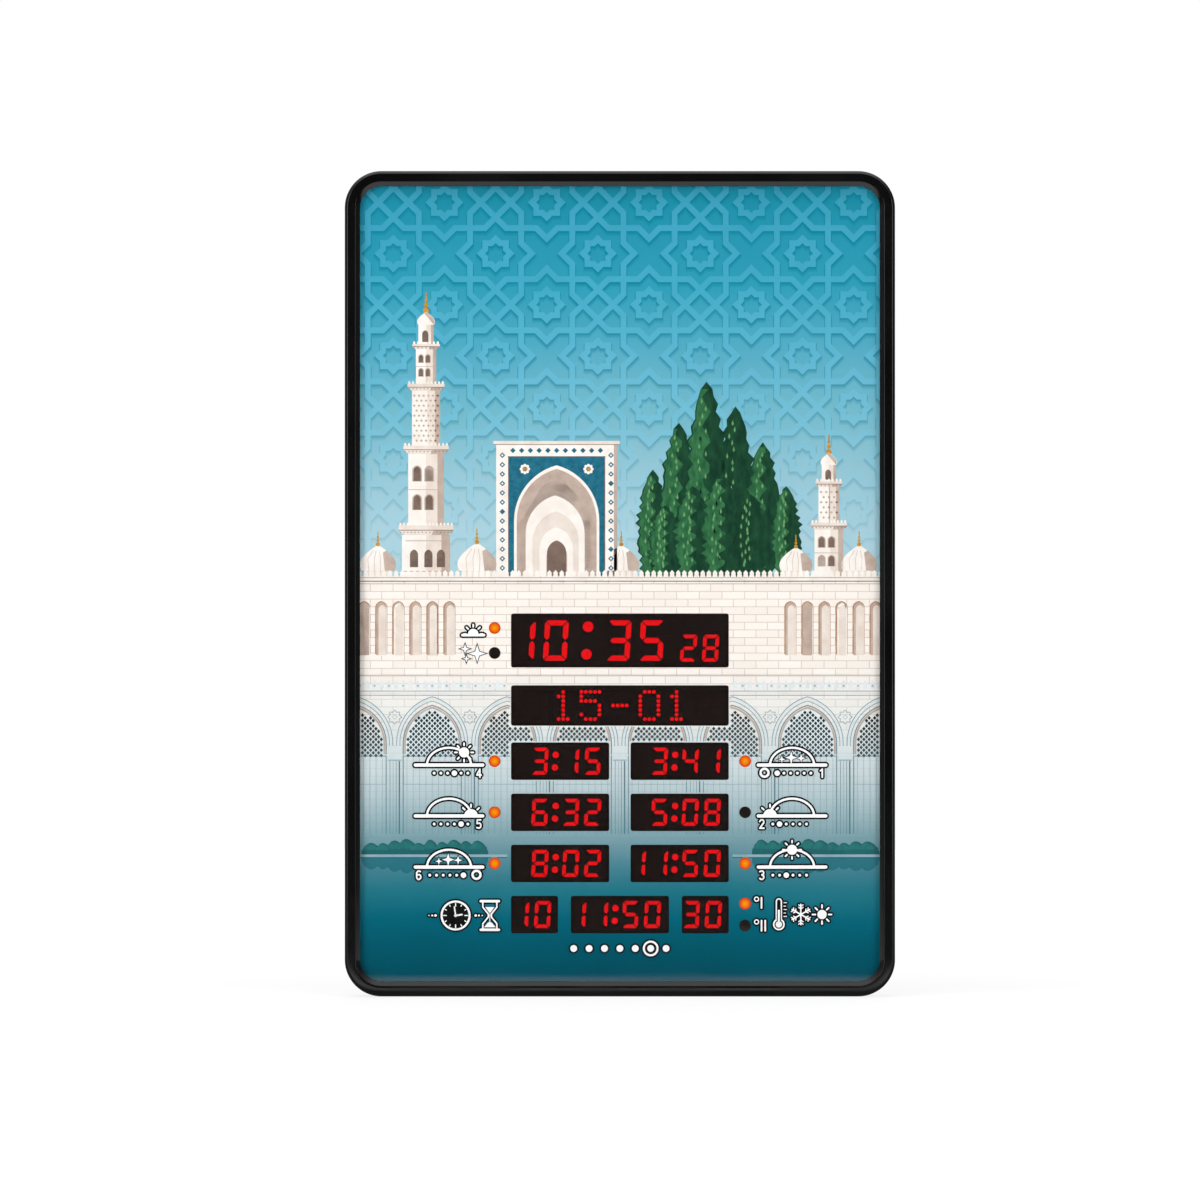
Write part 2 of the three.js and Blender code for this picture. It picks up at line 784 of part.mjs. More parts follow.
// Thermistor bead on two legs, behind the lower vents.
const thermistorZ = boardBottomZ + socketHeight;
const beadBack = boardBack + seatGap + thermistorLegLength + thermistorRadius;
const bead = new THREE.SphereGeometry(thermistorRadius, dotSides, dotSides / 2);
bead.translate(thermistorX, beadBack - caseDepth, thermistorZ);
const legs = [-1, 1].map((side) => post(
  thermistorX + side * thermistorRadius / 2, thermistorZ, thermistorLegRadius,
  boardBack + seatGap, beadBack, dotSides / 2,
));
place(displayGroup, 'thermistor', shaped(bead, legs, []), beadGlaze);

// Speaker, carried by the collar on the cover. Its own frame has Y towards the wall.
const speakerFace = rearInner - grilleDrop - seatGap;
const speakerGroup = new THREE.Group();
speakerGroup.position.set(speakerX, speakerFace - caseDepth, speakerZ);
clock.add(speakerGroup);
const rimInner = speakerRadius - basketRimWidth;
const basketProfile = [
  [rimInner, 0],
  [rimInner, -basketWellDepth],
  [basketSeatRadius - basketSheet, basketSheet - basketDepth],
  [coilRadius + basketSheet, basketSheet - basketDepth],
  [coilRadius + basketSheet, -basketDepth],
  [basketSeatRadius, -basketDepth],
  [rimInner + basketSheet, -basketWellDepth],
  [rimInner + basketSheet, -basketRimThickness],
  [speakerRadius, -basketRimThickness],
  [speakerRadius, 0],
  [rimInner, 0],
];
const basketWindows = [0, 1, 2, 3].map((quarter) => {
  const cutterReach = speakerRadius * basketWindowShares.reach;
  const cutter = new THREE.BoxGeometry(cutterReach, basketWindowHeight, basketWindowWidth);
  cutter.translate(speakerRadius * basketWindowShares.centre, -basketDepth * basketWindowShares.depth, 0);
  cutter.rotateY((quarter + 0.5) * Math.PI / 2);
  return cutter;
});
const basket = shaped(lathe(basketProfile, speakerSides), [], basketWindows);
place(speakerGroup, 'speaker_basket', basket, blackSteel);

// Magnet with its plates and pole, round the gap that the coil moves in.
const magnetFront = basketDepth + seatGap;
const poleRadius = coilRadius - coilThickness - magnetGapWidth;
const gapOuterRadius = coilRadius + magnetGapWidth;
const magnetBack = magnetFront + 2 * magnetPlateThickness + magnetThickness;
const magnetProfile = [
  [0, -magnetBack],
  [magnetPlateRadius, -magnetBack],
  [magnetPlateRadius, magnetPlateThickness - magnetBack],
  [magnetRadius, magnetPlateThickness - magnetBack],
  [magnetRadius, -magnetFront - magnetPlateThickness],
  [magnetPlateRadius, -magnetFront - magnetPlateThickness],
  [magnetPlateRadius, -magnetFront],
  [gapOuterRadius, -magnetFront],
  [gapOuterRadius, magnetPlateThickness - magnetBack],
  [poleRadius, magnetPlateThickness - magnetBack],
  [poleRadius, -magnetFront],
  [0, -magnetFront],
];
place(speakerGroup, 'speaker_magnet', lathe(magnetProfile, speakerSides), magnetFerrite);

// Cone with its rolled surround, dust cap and coil, in one moving piece.
const coneEdge = rimInner - runningGap;
const coneTop = coneTravel;
const coneShares = { crown: 0.925, neck: 0.85, neckDrop: 0.16, foot: 0.68 };
const coneFoot = basketDepth * coneShares.foot;
const coneNeckDrop = basketDepth * coneShares.neckDrop;
const conePoints = [
  [0, capRise - coneFoot],
  [coilRadius * 0.6, capRise * 0.75 - coneFoot],
  [coilRadius + conePaper * 2, -coneFoot],
  [coneEdge * coneShares.neck, -coneNeckDrop],
  [coneEdge * coneShares.crown, -coneTop],
  [coneEdge, -coneNeckDrop + conePaper],
  [coneEdge, -coneNeckDrop],
  [coneEdge * coneShares.crown, -coneTop - conePaper * 1.4],
  [coneEdge * coneShares.neck, -coneNeckDrop - conePaper * 1.2],
  [coilRadius + conePaper * 2, -coneFoot - conePaper],
  [coilRadius, -coneFoot - conePaper],
  [coilRadius, -coneFoot - coilLength],
  [coilRadius - coilThickness, -coneFoot - coilLength],
  [coilRadius - coilThickness, capRise * 0.2 - coneFoot],
  [coilRadius * 0.5, capRise * 0.75 - coneFoot - conePaper],
  [0, capRise - coneFoot - conePaper],
];
place(speakerGroup, 'speaker_cone', lathe(conePoints, speakerSides), paperCone);

// Back-up cells, side by side in the bay, pointing opposite ways.
const cellPitch = 2 * cellRadius + baySideGap;
const bayLength = cellLength + 2 * contactReach;
const bayHeight = 2 * cellPitch + baySideGap;
const doorLength = bayLength + 2 * bayLedge;
const doorHeight = bayHeight + 2 * bayLedge;
const doorInner = caseDepth - doorThickness;
const cellDepth = doorInner - seatGap - runningGap - cellRadius;
const bayFloorDepth = cellDepth - cellRadius - seatGap;
const cellProfile = [
  [0, -cellLength / 2],
  [cellRadius - cellRim, -cellLength / 2],
  [cellRadius, cellRim - cellLength / 2],
  [cellRadius, cellLength / 2 - cellNubHeight - cellRim],
  [cellRadius - cellRim, cellLength / 2 - cellNubHeight],
  [cellNubRadius, cellLength / 2 - cellNubHeight],
  [cellNubRadius, cellLength / 2],
  [0, cellLength / 2],
];
const powerGroup = new THREE.Group();
clock.add(powerGroup);
for (const [name, side] of [['upper_cell', 1], ['lower_cell', -1]]) {
  const cell = place(powerGroup, name, lathe(cellProfile, cellSides), cellWrap);
  cell.position.set(bayX, cellDepth - caseDepth, bayZ + side * cellPitch / 2);
  cell.rotation.z = side * Math.PI / 2;
}

// Leaf contacts at the ends of the bay, bowed towards the cells.
const bowHeight = contactReach - 2 * seatGap - contactSheet;
const contactHalf = bayHeight / 2 - baySideGap - seatGap;
function bowedLeaf() {
  const steps = 12;
  const outer = [];
  const inner = [];
  for (let step = 0; step <= steps; step += 1) {
    const along = (step / steps * 2 - 1) * contactHalf;
    const rise = bowHeight * Math.abs(Math.sin(Math.PI * (step / steps) * 2)) ** 0.8;
    outer.push(new THREE.Vector2(rise + contactSheet, along));
    inner.push(new THREE.Vector2(rise, along));
  }
  return new THREE.Shape([...inner, ...outer.reverse()]);
}
for (const [name, side] of [['left_contact', -1], ['right_contact', 1]]) {
  const leaf = place(powerGroup, name, slab(
    bowedLeaf(), cellDepth - contactHeight / 2, cellDepth + contactHeight / 2,
  ), bareSteel);
  leaf.position.set(bayX + side * (bayLength / 2 - seatGap), 0, bayZ);
  leaf.rotation.y = side > 0 ? Math.PI : 0;
}

// Battery door: a flush plate with two hooks below and a snap tongue above.
const doorBottom = bayZ - doorHeight / 2 + runningGap;
const doorTop = bayZ + doorHeight / 2 - runningGap;
const doorAxisDepth = caseDepth - doorThickness / 2;
const doorRadius = doorThickness / 2;
const doorPlate = block(
  bayX, (doorBottom + doorRadius + doorTop) / 2,
  doorLength - 2 * runningGap, doorTop - doorBottom - doorRadius,
  doorInner, caseDepth,
);
const doorBarrel = new THREE.CylinderGeometry(doorRadius, doorRadius, doorLength - 2 * runningGap, postSides);
doorBarrel.rotateZ(Math.PI / 2);
doorBarrel.translate(bayX, doorAxisDepth - caseDepth, doorBottom + doorRadius);
const hookFront = rearInner - seatGap - doorHookThickness;
const doorHooks = [-1, 1].flatMap((side) => {
  const x = bayX + side * doorHookX;
  const rootTop = doorBottom + 2 * doorHookReach;
  const root = block(
    x, (rootTop + doorBottom + doorRadius) / 2, doorHookWidth, rootTop - doorBottom - doorRadius,
    hookFront, doorInner + joinDepth,
  );
  const toe = block(
    x, (rootTop + doorBottom - doorHookReach) / 2, doorHookWidth, rootTop - doorBottom + doorHookReach,
    hookFront, rearInner - seatGap,
  );
  return [root, toe];
});
const tongueZ = bayZ + bayHeight / 2 + seatGap + doorHookThickness / 2;
const doorTongue = block(
  bayX, tongueZ, doorTongueWidth, doorHookThickness, doorInner - doorTongueDepth, doorInner + joinDepth,
);
const fingerNotch = post(
  bayX, doorTop - 2 * bayLedge - doorNotchRadius, doorNotchRadius,
  caseDepth - doorNotchDrop, caseDepth + overrun,
  2 * postSides,
);
place(powerGroup, 'battery_door', shaped(
  doorPlate, [doorBarrel, ...doorHooks, doorTongue], [fingerNotch],
), mouldedBlack);

// Keys in the right side wall, each with a stem that reaches into its switch.
const keyDepth = (bezelDepth + caseDepth) / 2;
const keyFlangeOuterX = trayInnerX - seatGap;
const keyFlangeInnerX = keyFlangeOuterX - keyFlangeThickness;
const switchTopX = keyFlangeInnerX - keyTravel - runningGap;
const stemTipX = switchTopX - keyStemEngagement;
const switchBoreX = stemTipX - keyTravel - runningGap;
const keyBoardFrontX = switchTopX - switchHeight;
const keyBoardBackX = keyBoardFrontX - boardThickness;
const keyGroup = new THREE.Group();
keyGroup.position.set(0, keyDepth - caseDepth, keyRowZ);
clock.add(keyGroup);

// Extrudes an outline drawn in Y and Z along X.
function sideSlab(shape, innerX, outerX, curveSegments = 1) {
  const geometry = new THREE.ExtrudeGeometry(shape, {
    depth: outerX - innerX,
    bevelEnabled: false,
    curveSegments,
  });
  geometry.rotateY(Math.PI / 2);
  geometry.rotateX(Math.PI / 2);
  geometry.translate(innerX, 0, 0);
  return geometry;
}

function sideRod(radius, innerX, outerX, z, sides) {
  const geometry = new THREE.CylinderGeometry(radius, radius, outerX - innerX, sides);
  geometry.rotateZ(Math.PI / 2);
  geometry.translate((innerX + outerX) / 2, 0, z);
  return geometry;
}

const keyNames = ['set_key', 'up_key', 'down_key', 'volume_key', 'stop_key'];
const keyPlaces = keyNames.map((name, i) => ((keyCount - 1) / 2 - i) * keyPitch);
const capOutline = roundedOutline(0, 0, keyCapHeight, keyCapLength, keyCapRounding);
const flangeOutline = roundedOutline(
  0, 0, keyCapHeight + 2 * keyFlangeMargin, keyCapLength + 2 * keyFlangeMargin, keyCapRounding,
);
keyNames.forEach((name, i) => {
  const key = place(keyGroup, name, shaped(
    sideSlab(capOutline, keyFlangeInnerX, trayOuterX + keyProud),
    [
      sideSlab(flangeOutline, keyFlangeInnerX, keyFlangeOuterX),
      sideRod(keyStemRadius, stemTipX, keyFlangeInnerX + joinDepth, 0, dotSides),
    ],
    [],
  ), keyRubber);
  key.position.z = keyPlaces[i];
});

// Key board on edge behind the keys, with a switch for each.
const keyBoardLength = (keyCount - 1) * keyPitch + 2 * keyBoardMargin;
const keyBoardBackEdge = caseDepth - keyDepth - caseWall - seatGap;
const keyBoardBody = new THREE.BoxGeometry(boardThickness, keyBoardHeight, keyBoardLength);
keyBoardBody.translate(
  keyBoardFrontX - boardThickness / 2, keyBoardBackEdge - keyBoardHeight / 2, 0,
);
const switches = keyPlaces.map((z) => {
  const body = new THREE.BoxGeometry(switchHeight + joinDepth, switchSize, switchSize);
  body.translate(switchTopX - (switchHeight + joinDepth) / 2, 0, z);
  return body;
});
const switchBores = keyPlaces.map((z) => sideRod(
  keyStemRadius + runningGap, switchBoreX, switchTopX + overrun, z, dotSides,
));
place(keyGroup, 'key_board', shaped(keyBoardBody, switches, switchBores), boardGreen);

// Power inlet at the bottom wall, open downwards.
const jackGroup = new THREE.Group();
jackGroup.position.set(jackX, keyDepth - caseDepth, -trayInnerZ + seatGap);
clock.add(jackGroup);
const jackHalfDepth = caseDepth - keyDepth - caseWall - seatGap;
const jackBody = new THREE.BoxGeometry(jackWidth, 2 * jackHalfDepth, jackLength);
jackBody.translate(0, 0, jackLength / 2);
const jackMouth = -caseWall - seatGap;
function uprightRod(radius, low, high, sides) {
  const geometry = new THREE.CylinderGeometry(radius, radius, high - low, sides);
  geometry.rotateX(Math.PI / 2);
  geometry.translate(0, 0, (low + high) / 2);
  return geometry;
}
const jackCollar = uprightRod(jackCollarRadius, jackMouth, joinDepth, 2 * postSides);
const jackBore = uprightRod(jackBoreRadius, jackMouth - overrun, jackMouth + jackBoreDepth, 2 * dotSides);
const jackPin = uprightRod(
  jackPinRadius, jackMouth + overrun, jackMouth + jackBoreDepth + joinDepth, dotSides,
);
const jackShell = shaped(jackBody, [jackCollar], [jackBore]);
place(jackGroup, 'power_inlet', shaped(jackShell, [jackPin], []), blackPlug);

// Rear cover: a tray with a press rib in front, a screw flange, and everything it carries moulded on.
const pressRibFront = printBack + seatGap;
const coverOuter = caseStack([
  [trayInset, pressRibFront],
  [trayInset, flangeFront],
  [caseWall + flangeEdgeGap, flangeFront],
  [caseWall + flangeEdgeGap, bezelDepth],
  [trayInset, bezelDepth],
  [trayInset, caseDepth - trayEdge],
  [trayInset + trayEdge, caseDepth],
]);
const coverInner = caseStack([
  [trayInnerInset, pressRibFront - overrun],
  [trayInnerInset, rearInner],
]);
const boardPosts = postPlaces.flatMap(([x, z]) => [
  post(x, z, postRadius, boardBack + seatGap, rearInner + joinDepth),
  post(x, z, spigotRadius, boardFront - spigotRise, rearInner + joinDepth),
]);
const stiffenerFront = rearInner - stiffenerHeight;
const stiffeners = [
  ...[-stiffenerX, stiffenerX].map((x) => block(
    x, 0, stiffenerWidth, 2 * stiffenerTopZ, stiffenerFront, rearInner + joinDepth,
  )),
  ...[stiffenerTopZ, stiffenerMiddleZ, dateWindowZ].map((z) => block(
    0, z, 2 * keyholeX, stiffenerWidth, stiffenerFront, rearInner + joinDepth,
  )),
];
const keyholeTopZ = keyholeZ + keyholeRise;
const keyholePads = [-keyholeX, keyholeX].map((x) => slab(
  roundedOutline(
    x, (keyholeZ + keyholeTopZ) / 2, 2 * (keyholeHeadRadius + keyholePadMargin),
    keyholeRise + 2 * (keyholeHeadRadius + keyholePadMargin), keyholePadMargin,
  ),
  rearInner - keyholePadThickness, rearInner + joinDepth,
));
const keyholeCuts = [-keyholeX, keyholeX].flatMap((x) => [
  post(
    x, keyholeZ, keyholeHeadRadius, rearInner - keyholePadThickness - overrun,
    caseDepth + overrun, 2 * postSides,
  ),
  slab(
    roundedOutline(
      x, keyholeZ + keyholeRise / 2, 2 * keyholeSlotRadius,
      keyholeRise + 2 * keyholeSlotRadius, keyholeSlotRadius,
    ),
    rearInner - keyholePadThickness - overrun, caseDepth + overrun, 4,
  ),
]);

// Sunk grille field over the speaker, open at the side so that the sound gets out beside the wall.
const grilleRadius = speakerRadius - basketRimWidth;
const fieldRadius = grilleRadius + grilleMargin;
const backingRadius = speakerRadius + runningGap + collarThickness;
const fieldBack = caseDepth - grilleDrop;
const fieldFront = rearInner - grilleDrop;
const backing = post(speakerX, speakerZ, backingRadius, fieldFront, rearInner + joinDepth, speakerSides);
const outletLength = trayInnerX + speakerX + joinDepth;
const outletBacking = block(
  speakerX - outletLength / 2, speakerZ, outletLength, outletWidth + 2 * caseWall,
  fieldFront, rearInner + joinDepth,
);
const collar = shaped(
  post(speakerX, speakerZ, backingRadius, fieldFront - collarHeight, fieldFront + joinDepth, speakerSides),
  [],
  [post(speakerX, speakerZ, speakerRadius + runningGap, fieldFront - collarHeight - overrun,
    fieldFront + overrun, speakerSides)],
);
const fieldCut = post(speakerX, speakerZ, fieldRadius, fieldBack, caseDepth + overrun, speakerSides);
const outletCutLength = trayOuterX + speakerX + overrun;
const outletCut = block(
  speakerX - outletCutLength / 2, speakerZ, outletCutLength, outletWidth, fieldBack, caseDepth + overrun,
);
const grilleCuts = Array.from({ length: grilleSlotCount }, (unused, i) => {
  const offset = (i - (grilleSlotCount - 1) / 2) * grilleSlotPitch;
  const slotEdge = Math.abs(offset) + grilleSlotWidth / 2;
  const halfChord = Math.sqrt(Math.max(grilleRadius ** 2 - slotEdge ** 2, 0));
  return slab(
    roundedOutline(
      speakerX, speakerZ + offset, 2 * Math.max(halfChord, grilleSlotWidth),
      grilleSlotWidth, grilleSlotWidth / 2,
    ),
    fieldFront - overrun, caseDepth + overrun, 1,
  );
});

const ventPlaces = Array.from({ length: ventCount }, (unused, i) => i - (ventCount - 1) / 2);
const ventCuts = [upperVentZ, lowerVentZ].flatMap((z) => ventPlaces.map((step) => slab(
  roundedOutline(
    ventX + step * ventPitch, z, ventWidth, ventLength, ventWidth / 2,
  ),
  rearInner - overrun, caseDepth + overrun, 1,
)));

// Battery bay with a ledge for the door, slots for its hooks and room for its tongue.
const bayBlock = block(
  bayX, bayZ, doorLength + 2 * bayFloor, doorHeight + 2 * bayFloor,
  bayFloorDepth - bayFloor, caseDepth - caseWall / 2,
);
const bayCavity = block(bayX, bayZ, bayLength, bayHeight, bayFloorDepth, caseDepth + overrun);
const doorRecess = block(bayX, bayZ, doorLength, doorHeight, doorInner - runningGap, caseDepth + overrun);
const hookSwing = 2 * doorHookReach + doorRadius;
const hookSlots = [-1, 1].map((side) => block(
  bayX + side * doorHookX, bayZ - doorHeight / 2 - bayFloor / 2, doorHookWidth + 2 * runningGap,
  2 * bayLedge + 2 * bayFloor + overrun, rearInner - hookSwing, rearInner,
));
const tongueSlotLow = bayZ + bayHeight / 2 - overrun;
const tongueSlotHigh = doorTop + 2 * runningGap;
const tongueSlot = block(
  bayX, (tongueSlotLow + tongueSlotHigh) / 2,
  doorTongueWidth + 2 * runningGap, tongueSlotHigh - tongueSlotLow,
  doorInner - doorTongueDepth - runningGap, doorInner,
);

// Slots for the keys and brackets for the key board.
const keySlots = keyPlaces.map((z) => {
  const cutter = sideSlab(
    roundedOutline(
      0, 0, keyCapHeight + 2 * runningGap, keyCapLength + 2 * runningGap, keyCapRounding + runningGap,
    ),
    trayInnerX - overrun, trayOuterX + overrun,
  );
  cutter.translate(0, keyDepth - caseDepth, keyRowZ + z);
  return cutter;
});
const bracketLength = keyBoardFrontX - keyBoardBackX + 2 * (bracketWall + seatGap);
const bracketX = (keyBoardFrontX + keyBoardBackX) / 2;
const bracketZs = [-1, 1].map((side) => keyRowZ + side * keyBoardLength / 2);
const brackets = bracketZs.map((z) => block(
  bracketX, z, bracketLength, bracketWidth, rearInner - keyBoardHeight, rearInner + joinDepth,
));
const bracketGroove = block(
  bracketX, keyRowZ, boardThickness + 2 * seatGap, keyBoardLength + 2 * seatGap,
  rearInner - keyBoardHeight - overrun, rearInner,
);

// Hole and cradle for the power inlet.
const jackHole = uprightRod(jackCollarRadius + seatGap, -overrun, caseWall + overrun, 2 * postSides);
jackHole.translate(jackX, keyDepth - caseDepth, -trayOuterZ);
const cradleOffset = (jackWidth + cradleWall) / 2 + seatGap;
const cradles = [-1, 1].map((side) => block(
  jackX + side * cradleOffset, -trayInnerZ + jackLength / 2, cradleWall, jackLength + joinDepth,
  keyDepth, rearInner + joinDepth,
));

const flangeHoles = screwPlaces.map(([x, z]) => post(
  x, z, screwShankRadius + runningGap, flangeFront - overrun, bezelDepth + overrun,
));
place(caseGroup, 'rear_cover', shaped(
  shaped(coverOuter, [], [coverInner]),
  [
    ...boardPosts, ...stiffeners, ...keyholePads, backing, outletBacking, collar, bayBlock,
    ...brackets, ...cradles,
  ],
  [
    ...keyholeCuts, fieldCut, outletCut, ...grilleCuts, ...ventCuts, bayCavity, doorRecess, ...hookSlots,
    tongueSlot, ...keySlots, bracketGroove, jackHole, ...flangeHoles,
  ],
), mouldedBlack);

// Leads from the display board to the speaker, keys, cells and inlet.
function lead(name, points) {
  const places = points.map(([x, depth, z]) => new THREE.Vector3(x, depth - caseDepth, z));
  const path = new THREE.CatmullRomCurve3(places);
  const section = new THREE.Shape();
  for (let side = 0; side < leadSides; side += 1) {
    const angle = side / leadSides * Math.PI * 2;
    const x = leadRadius * Math.cos(angle);
    const y = leadRadius * Math.sin(angle);
    if (side === 0) {
      section.moveTo(x, y);
    } else {
      section.lineTo(x, y);
    }
  }
  section.closePath();
  place(clock, name, new THREE.ExtrudeGeometry(section, {
    steps: leadSteps,
    bevelEnabled: false,
    extrudePath: path,
  }), leadSheath);
}

const leadDepth = boardBack + socketDepth / 2;
const socketEdge = socketWidth / 2 + seatGap;
const speakerSideX = speakerX + speakerRadius * 0.82;
lead('speaker_lead', [
  [socketPlaces.speaker[0] - socketEdge, leadDepth, socketPlaces.speaker[1]],
  [socketPlaces.speaker[0] - 2 * socketEdge, leadDepth, socketPlaces.speaker[1]],
  [speakerSideX + leadRadius, speakerFace - basketDepth * 0.7, speakerZ],
]);
const keyLeadEndZ = keyRowZ - keyBoardLength / 2 + bracketWidth + leadRadius;
lead('key_lead', [
  [socketPlaces.keys[0] + socketEdge, leadDepth, socketPlaces.keys[1]],
  [socketPlaces.keys[0] + 3 * socketEdge, leadDepth, socketPlaces.keys[1]],
  [keyBoardBackX - 6 * leadRadius, keyDepth, keyLeadEndZ],
  [keyBoardBackX - seatGap, keyDepth, keyLeadEndZ],
]);
const bayLeftX = bayX - doorLength / 2 - bayFloor;
lead('battery_lead', [
  [socketPlaces.battery[0] + socketEdge, leadDepth, socketPlaces.battery[1]],
  [(socketPlaces.battery[0] + socketEdge + bayLeftX) / 2, leadDepth + leadRadius, socketPlaces.battery[1]],
  [bayLeftX - seatGap, leadDepth, bayZ],
]);
const jackTopZ = -trayInnerZ + seatGap + jackLength;
const powerSocketZ = socketPlaces.power[1] - socketHeight / 2;
lead('power_lead', [
  [jackX, leadDepth, powerSocketZ - seatGap],
  [jackX, leadDepth, powerSocketZ - seatGap - 2 * leadRadius],
  [jackX, keyDepth, jackTopZ + seatGap + 2 * leadRadius],
  [jackX, keyDepth, jackTopZ + seatGap],
]);

export default clock;
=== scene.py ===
import math
import random

import bmesh
import bpy
from mathutils import Matrix, Vector


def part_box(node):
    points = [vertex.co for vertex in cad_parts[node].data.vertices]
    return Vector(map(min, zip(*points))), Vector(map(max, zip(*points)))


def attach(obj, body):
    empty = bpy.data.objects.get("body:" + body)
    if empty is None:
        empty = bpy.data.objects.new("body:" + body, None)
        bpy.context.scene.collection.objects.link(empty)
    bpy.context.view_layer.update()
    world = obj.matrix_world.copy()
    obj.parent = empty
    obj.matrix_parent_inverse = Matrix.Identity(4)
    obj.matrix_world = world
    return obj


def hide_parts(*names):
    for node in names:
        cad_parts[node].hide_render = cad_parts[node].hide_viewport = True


mm = 0.001
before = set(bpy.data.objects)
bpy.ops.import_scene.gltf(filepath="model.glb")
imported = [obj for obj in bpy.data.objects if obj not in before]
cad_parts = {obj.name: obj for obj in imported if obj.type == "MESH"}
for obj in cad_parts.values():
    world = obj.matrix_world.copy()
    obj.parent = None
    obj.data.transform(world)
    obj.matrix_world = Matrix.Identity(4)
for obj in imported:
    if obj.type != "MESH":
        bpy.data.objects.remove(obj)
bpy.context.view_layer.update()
scene = bpy.context.scene
scene.view_settings.view_transform = "Standard"
print("frame loaded:", len(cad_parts), "nodes")


# meshes and pieces

def newObject(name, data):
    thing = bpy.data.objects.new(name, data)
    scene.collection.objects.link(thing)
    return thing


def asMesh(name, shape):
    mesh = bpy.data.meshes.new(name)
    shape.to_mesh(mesh)
    shape.free()
    return mesh


def smoothed(mesh, angle):
    mesh.shade_smooth()
    mesh.set_sharp_from_angle(angle=math.radians(angle))


def pieceFrom(name, shape, material, smoothAngle=None):
    # a bmesh becomes a finished piece at the origin
    mesh = asMesh(name, shape)
    mesh.materials.append(material)
    if smoothAngle is not None:
        smoothed(mesh, smoothAngle)
    return newObject(name, mesh)


def evaluatedMesh(thing):
    bpy.context.view_layer.update()
    return bpy.data.meshes.new_from_object(thing.evaluated_get(bpy.context.evaluated_depsgraph_get()))


def settle(piece, body, slotName, *nodes):
    # the piece moves with its body and stands for the nodes it replaces
    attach(piece, body)
    if nodes:
        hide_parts(*nodes)


def toSheet(piece):
    settle(piece, "case", "printed_film")


def outward(shape):
    bmesh.ops.recalc_face_normals(shape, faces=shape.faces)
    return shape


def vertsAt(shape, points, y):
    return [shape.verts.new((x * mm, y * mm, z * mm)) for x, z in points]


def bridge(shape, loops):
    # quads between each loop and the next
    for ring, after in zip(loops, loops[1:]):
        for i, vert in enumerate(ring):
            j = (i + 1) % len(ring)
            shape.faces.new((vert, ring[j], after[j], after[i]))


def signedArea(points):
    return sum(a[0] * b[1] - b[0] * a[1] for a, b in zip(points, points[1:] + points[:1])) / 2


def addPrism(shape, points, frontY, backY):
    # a closed slab with the outline given in x and z, millimetres
    if signedArea(points) < 0:
        points = points[::-1]
    front, back = vertsAt(shape, points, frontY), vertsAt(shape, points, backY)
    shape.faces.new(front)
    shape.faces.new(back[::-1])
    for i in range(len(points)):
        j = (i + 1) % len(points)
        shape.faces.new((front[i], back[i], back[j], front[j]))


# outlines in x and z, millimetres

def filleted(points, steps=4):
    # rounds the corners of a closed outline; each point is (across, along, radius)
    outline = []
    count = len(points)
    for i, (px, py, radius) in enumerate(points):
        if radius <= 0:
            outline.append((px, py))
            continue
        here = Vector((px, py))
        before = Vector(points[i - 1][:2]) - here
        after = Vector(points[(i + 1) % count][:2]) - here
        half = before.angle(after) / 2
        reach = min(radius / math.tan(half), before.length * 0.49, after.length * 0.49)
        start = here + before.normalized() * reach
        end = here + after.normalized() * reach
        for step in range(steps + 1):
            t = step / steps
            bent = start.lerp(here, t).lerp(here.lerp(end, t), t)
            outline.append((bent.x, bent.y))
    return outline


def placed(points, x=0, z=0, across=1, up=None):
    # points scaled and then moved; the scale upwards is the one across, unless it is given
    up = across if up is None else up
    return [(x + px * across, z + pz * up) for px, pz in points]


def flipped(points):
    # the same points mirrored left to right, in reverse order
    return placed(points[::-1], 0, 0, -1, 1)


def polar(x, z, radius, angle):
    return (x + radius * math.cos(angle), z + radius * math.sin(angle))


def disc(x, z, radius, sides=20):
    return [polar(x, z, radius, math.tau * i / sides) for i in range(sides)]


def box(x, z, width, height):
    left, right, low, high = x - width / 2, x + width / 2, z - height / 2, z + height / 2
    return [(left, low), (right, low), (right, high), (left, high)]


def roundBox(x, z, width, height, radius):
    return filleted([(px, pz, radius) for px, pz in box(x, z, width, height)])


def bar(x0, z0, x1, z1, width, ends=5):
    # a straight stroke with round ends
    along = Vector((x1 - x0, z1 - z0))
    angle = math.atan2(along.y, along.x)
    points = []
    for cx, cz, turn in ((x1, z1, angle - math.pi / 2), (x0, z0, angle + math.pi / 2)):
        points += [polar(cx, cz, width / 2, turn + math.pi * i / ends) for i in range(ends + 1)]
    return points


def curved(x, z, halfX, halfZ, start, end, steps=20):
    # points along part of an ellipse, in degrees
    angles = [math.radians(start + (end - start) * i / steps) for i in range(steps + 1)]
    return [(x + halfX * math.cos(a), z + halfZ * math.sin(a)) for a in angles]


def stripeSides(points, width):
    # the two sides of an even stripe along the points
    left, right = [], []
    for i, (x, z) in enumerate(points):
        ax, az = points[max(i - 1, 0)]
        bx, bz = points[min(i + 1, len(points) - 1)]
        length = math.hypot(bx - ax, bz - az) or 1
        nx, nz = -(bz - az) / length * width / 2, (bx - ax) / length * width / 2
        left.append((x + nx, z + nz))
        right.append((x - nx, z - nz))
    return left, right


def ribbon(points, width):
    left, right = stripeSides(points, width)
    return left + right[::-1]


# node graphs

def srgb(*color):
    # screen colour 0..255 to the linear colour that the shaders take
    shares = [value / 255 for value in color]
    return tuple(s / 12.92 if s <= 0.04045 else ((s + 0.055) / 1.055) ** 2.4 for s in shares) + (1,)


def tinted(color, gain, lift=0.0):
    return tuple(min(c * gain + lift, 1) for c in color[:3]) + (1,)


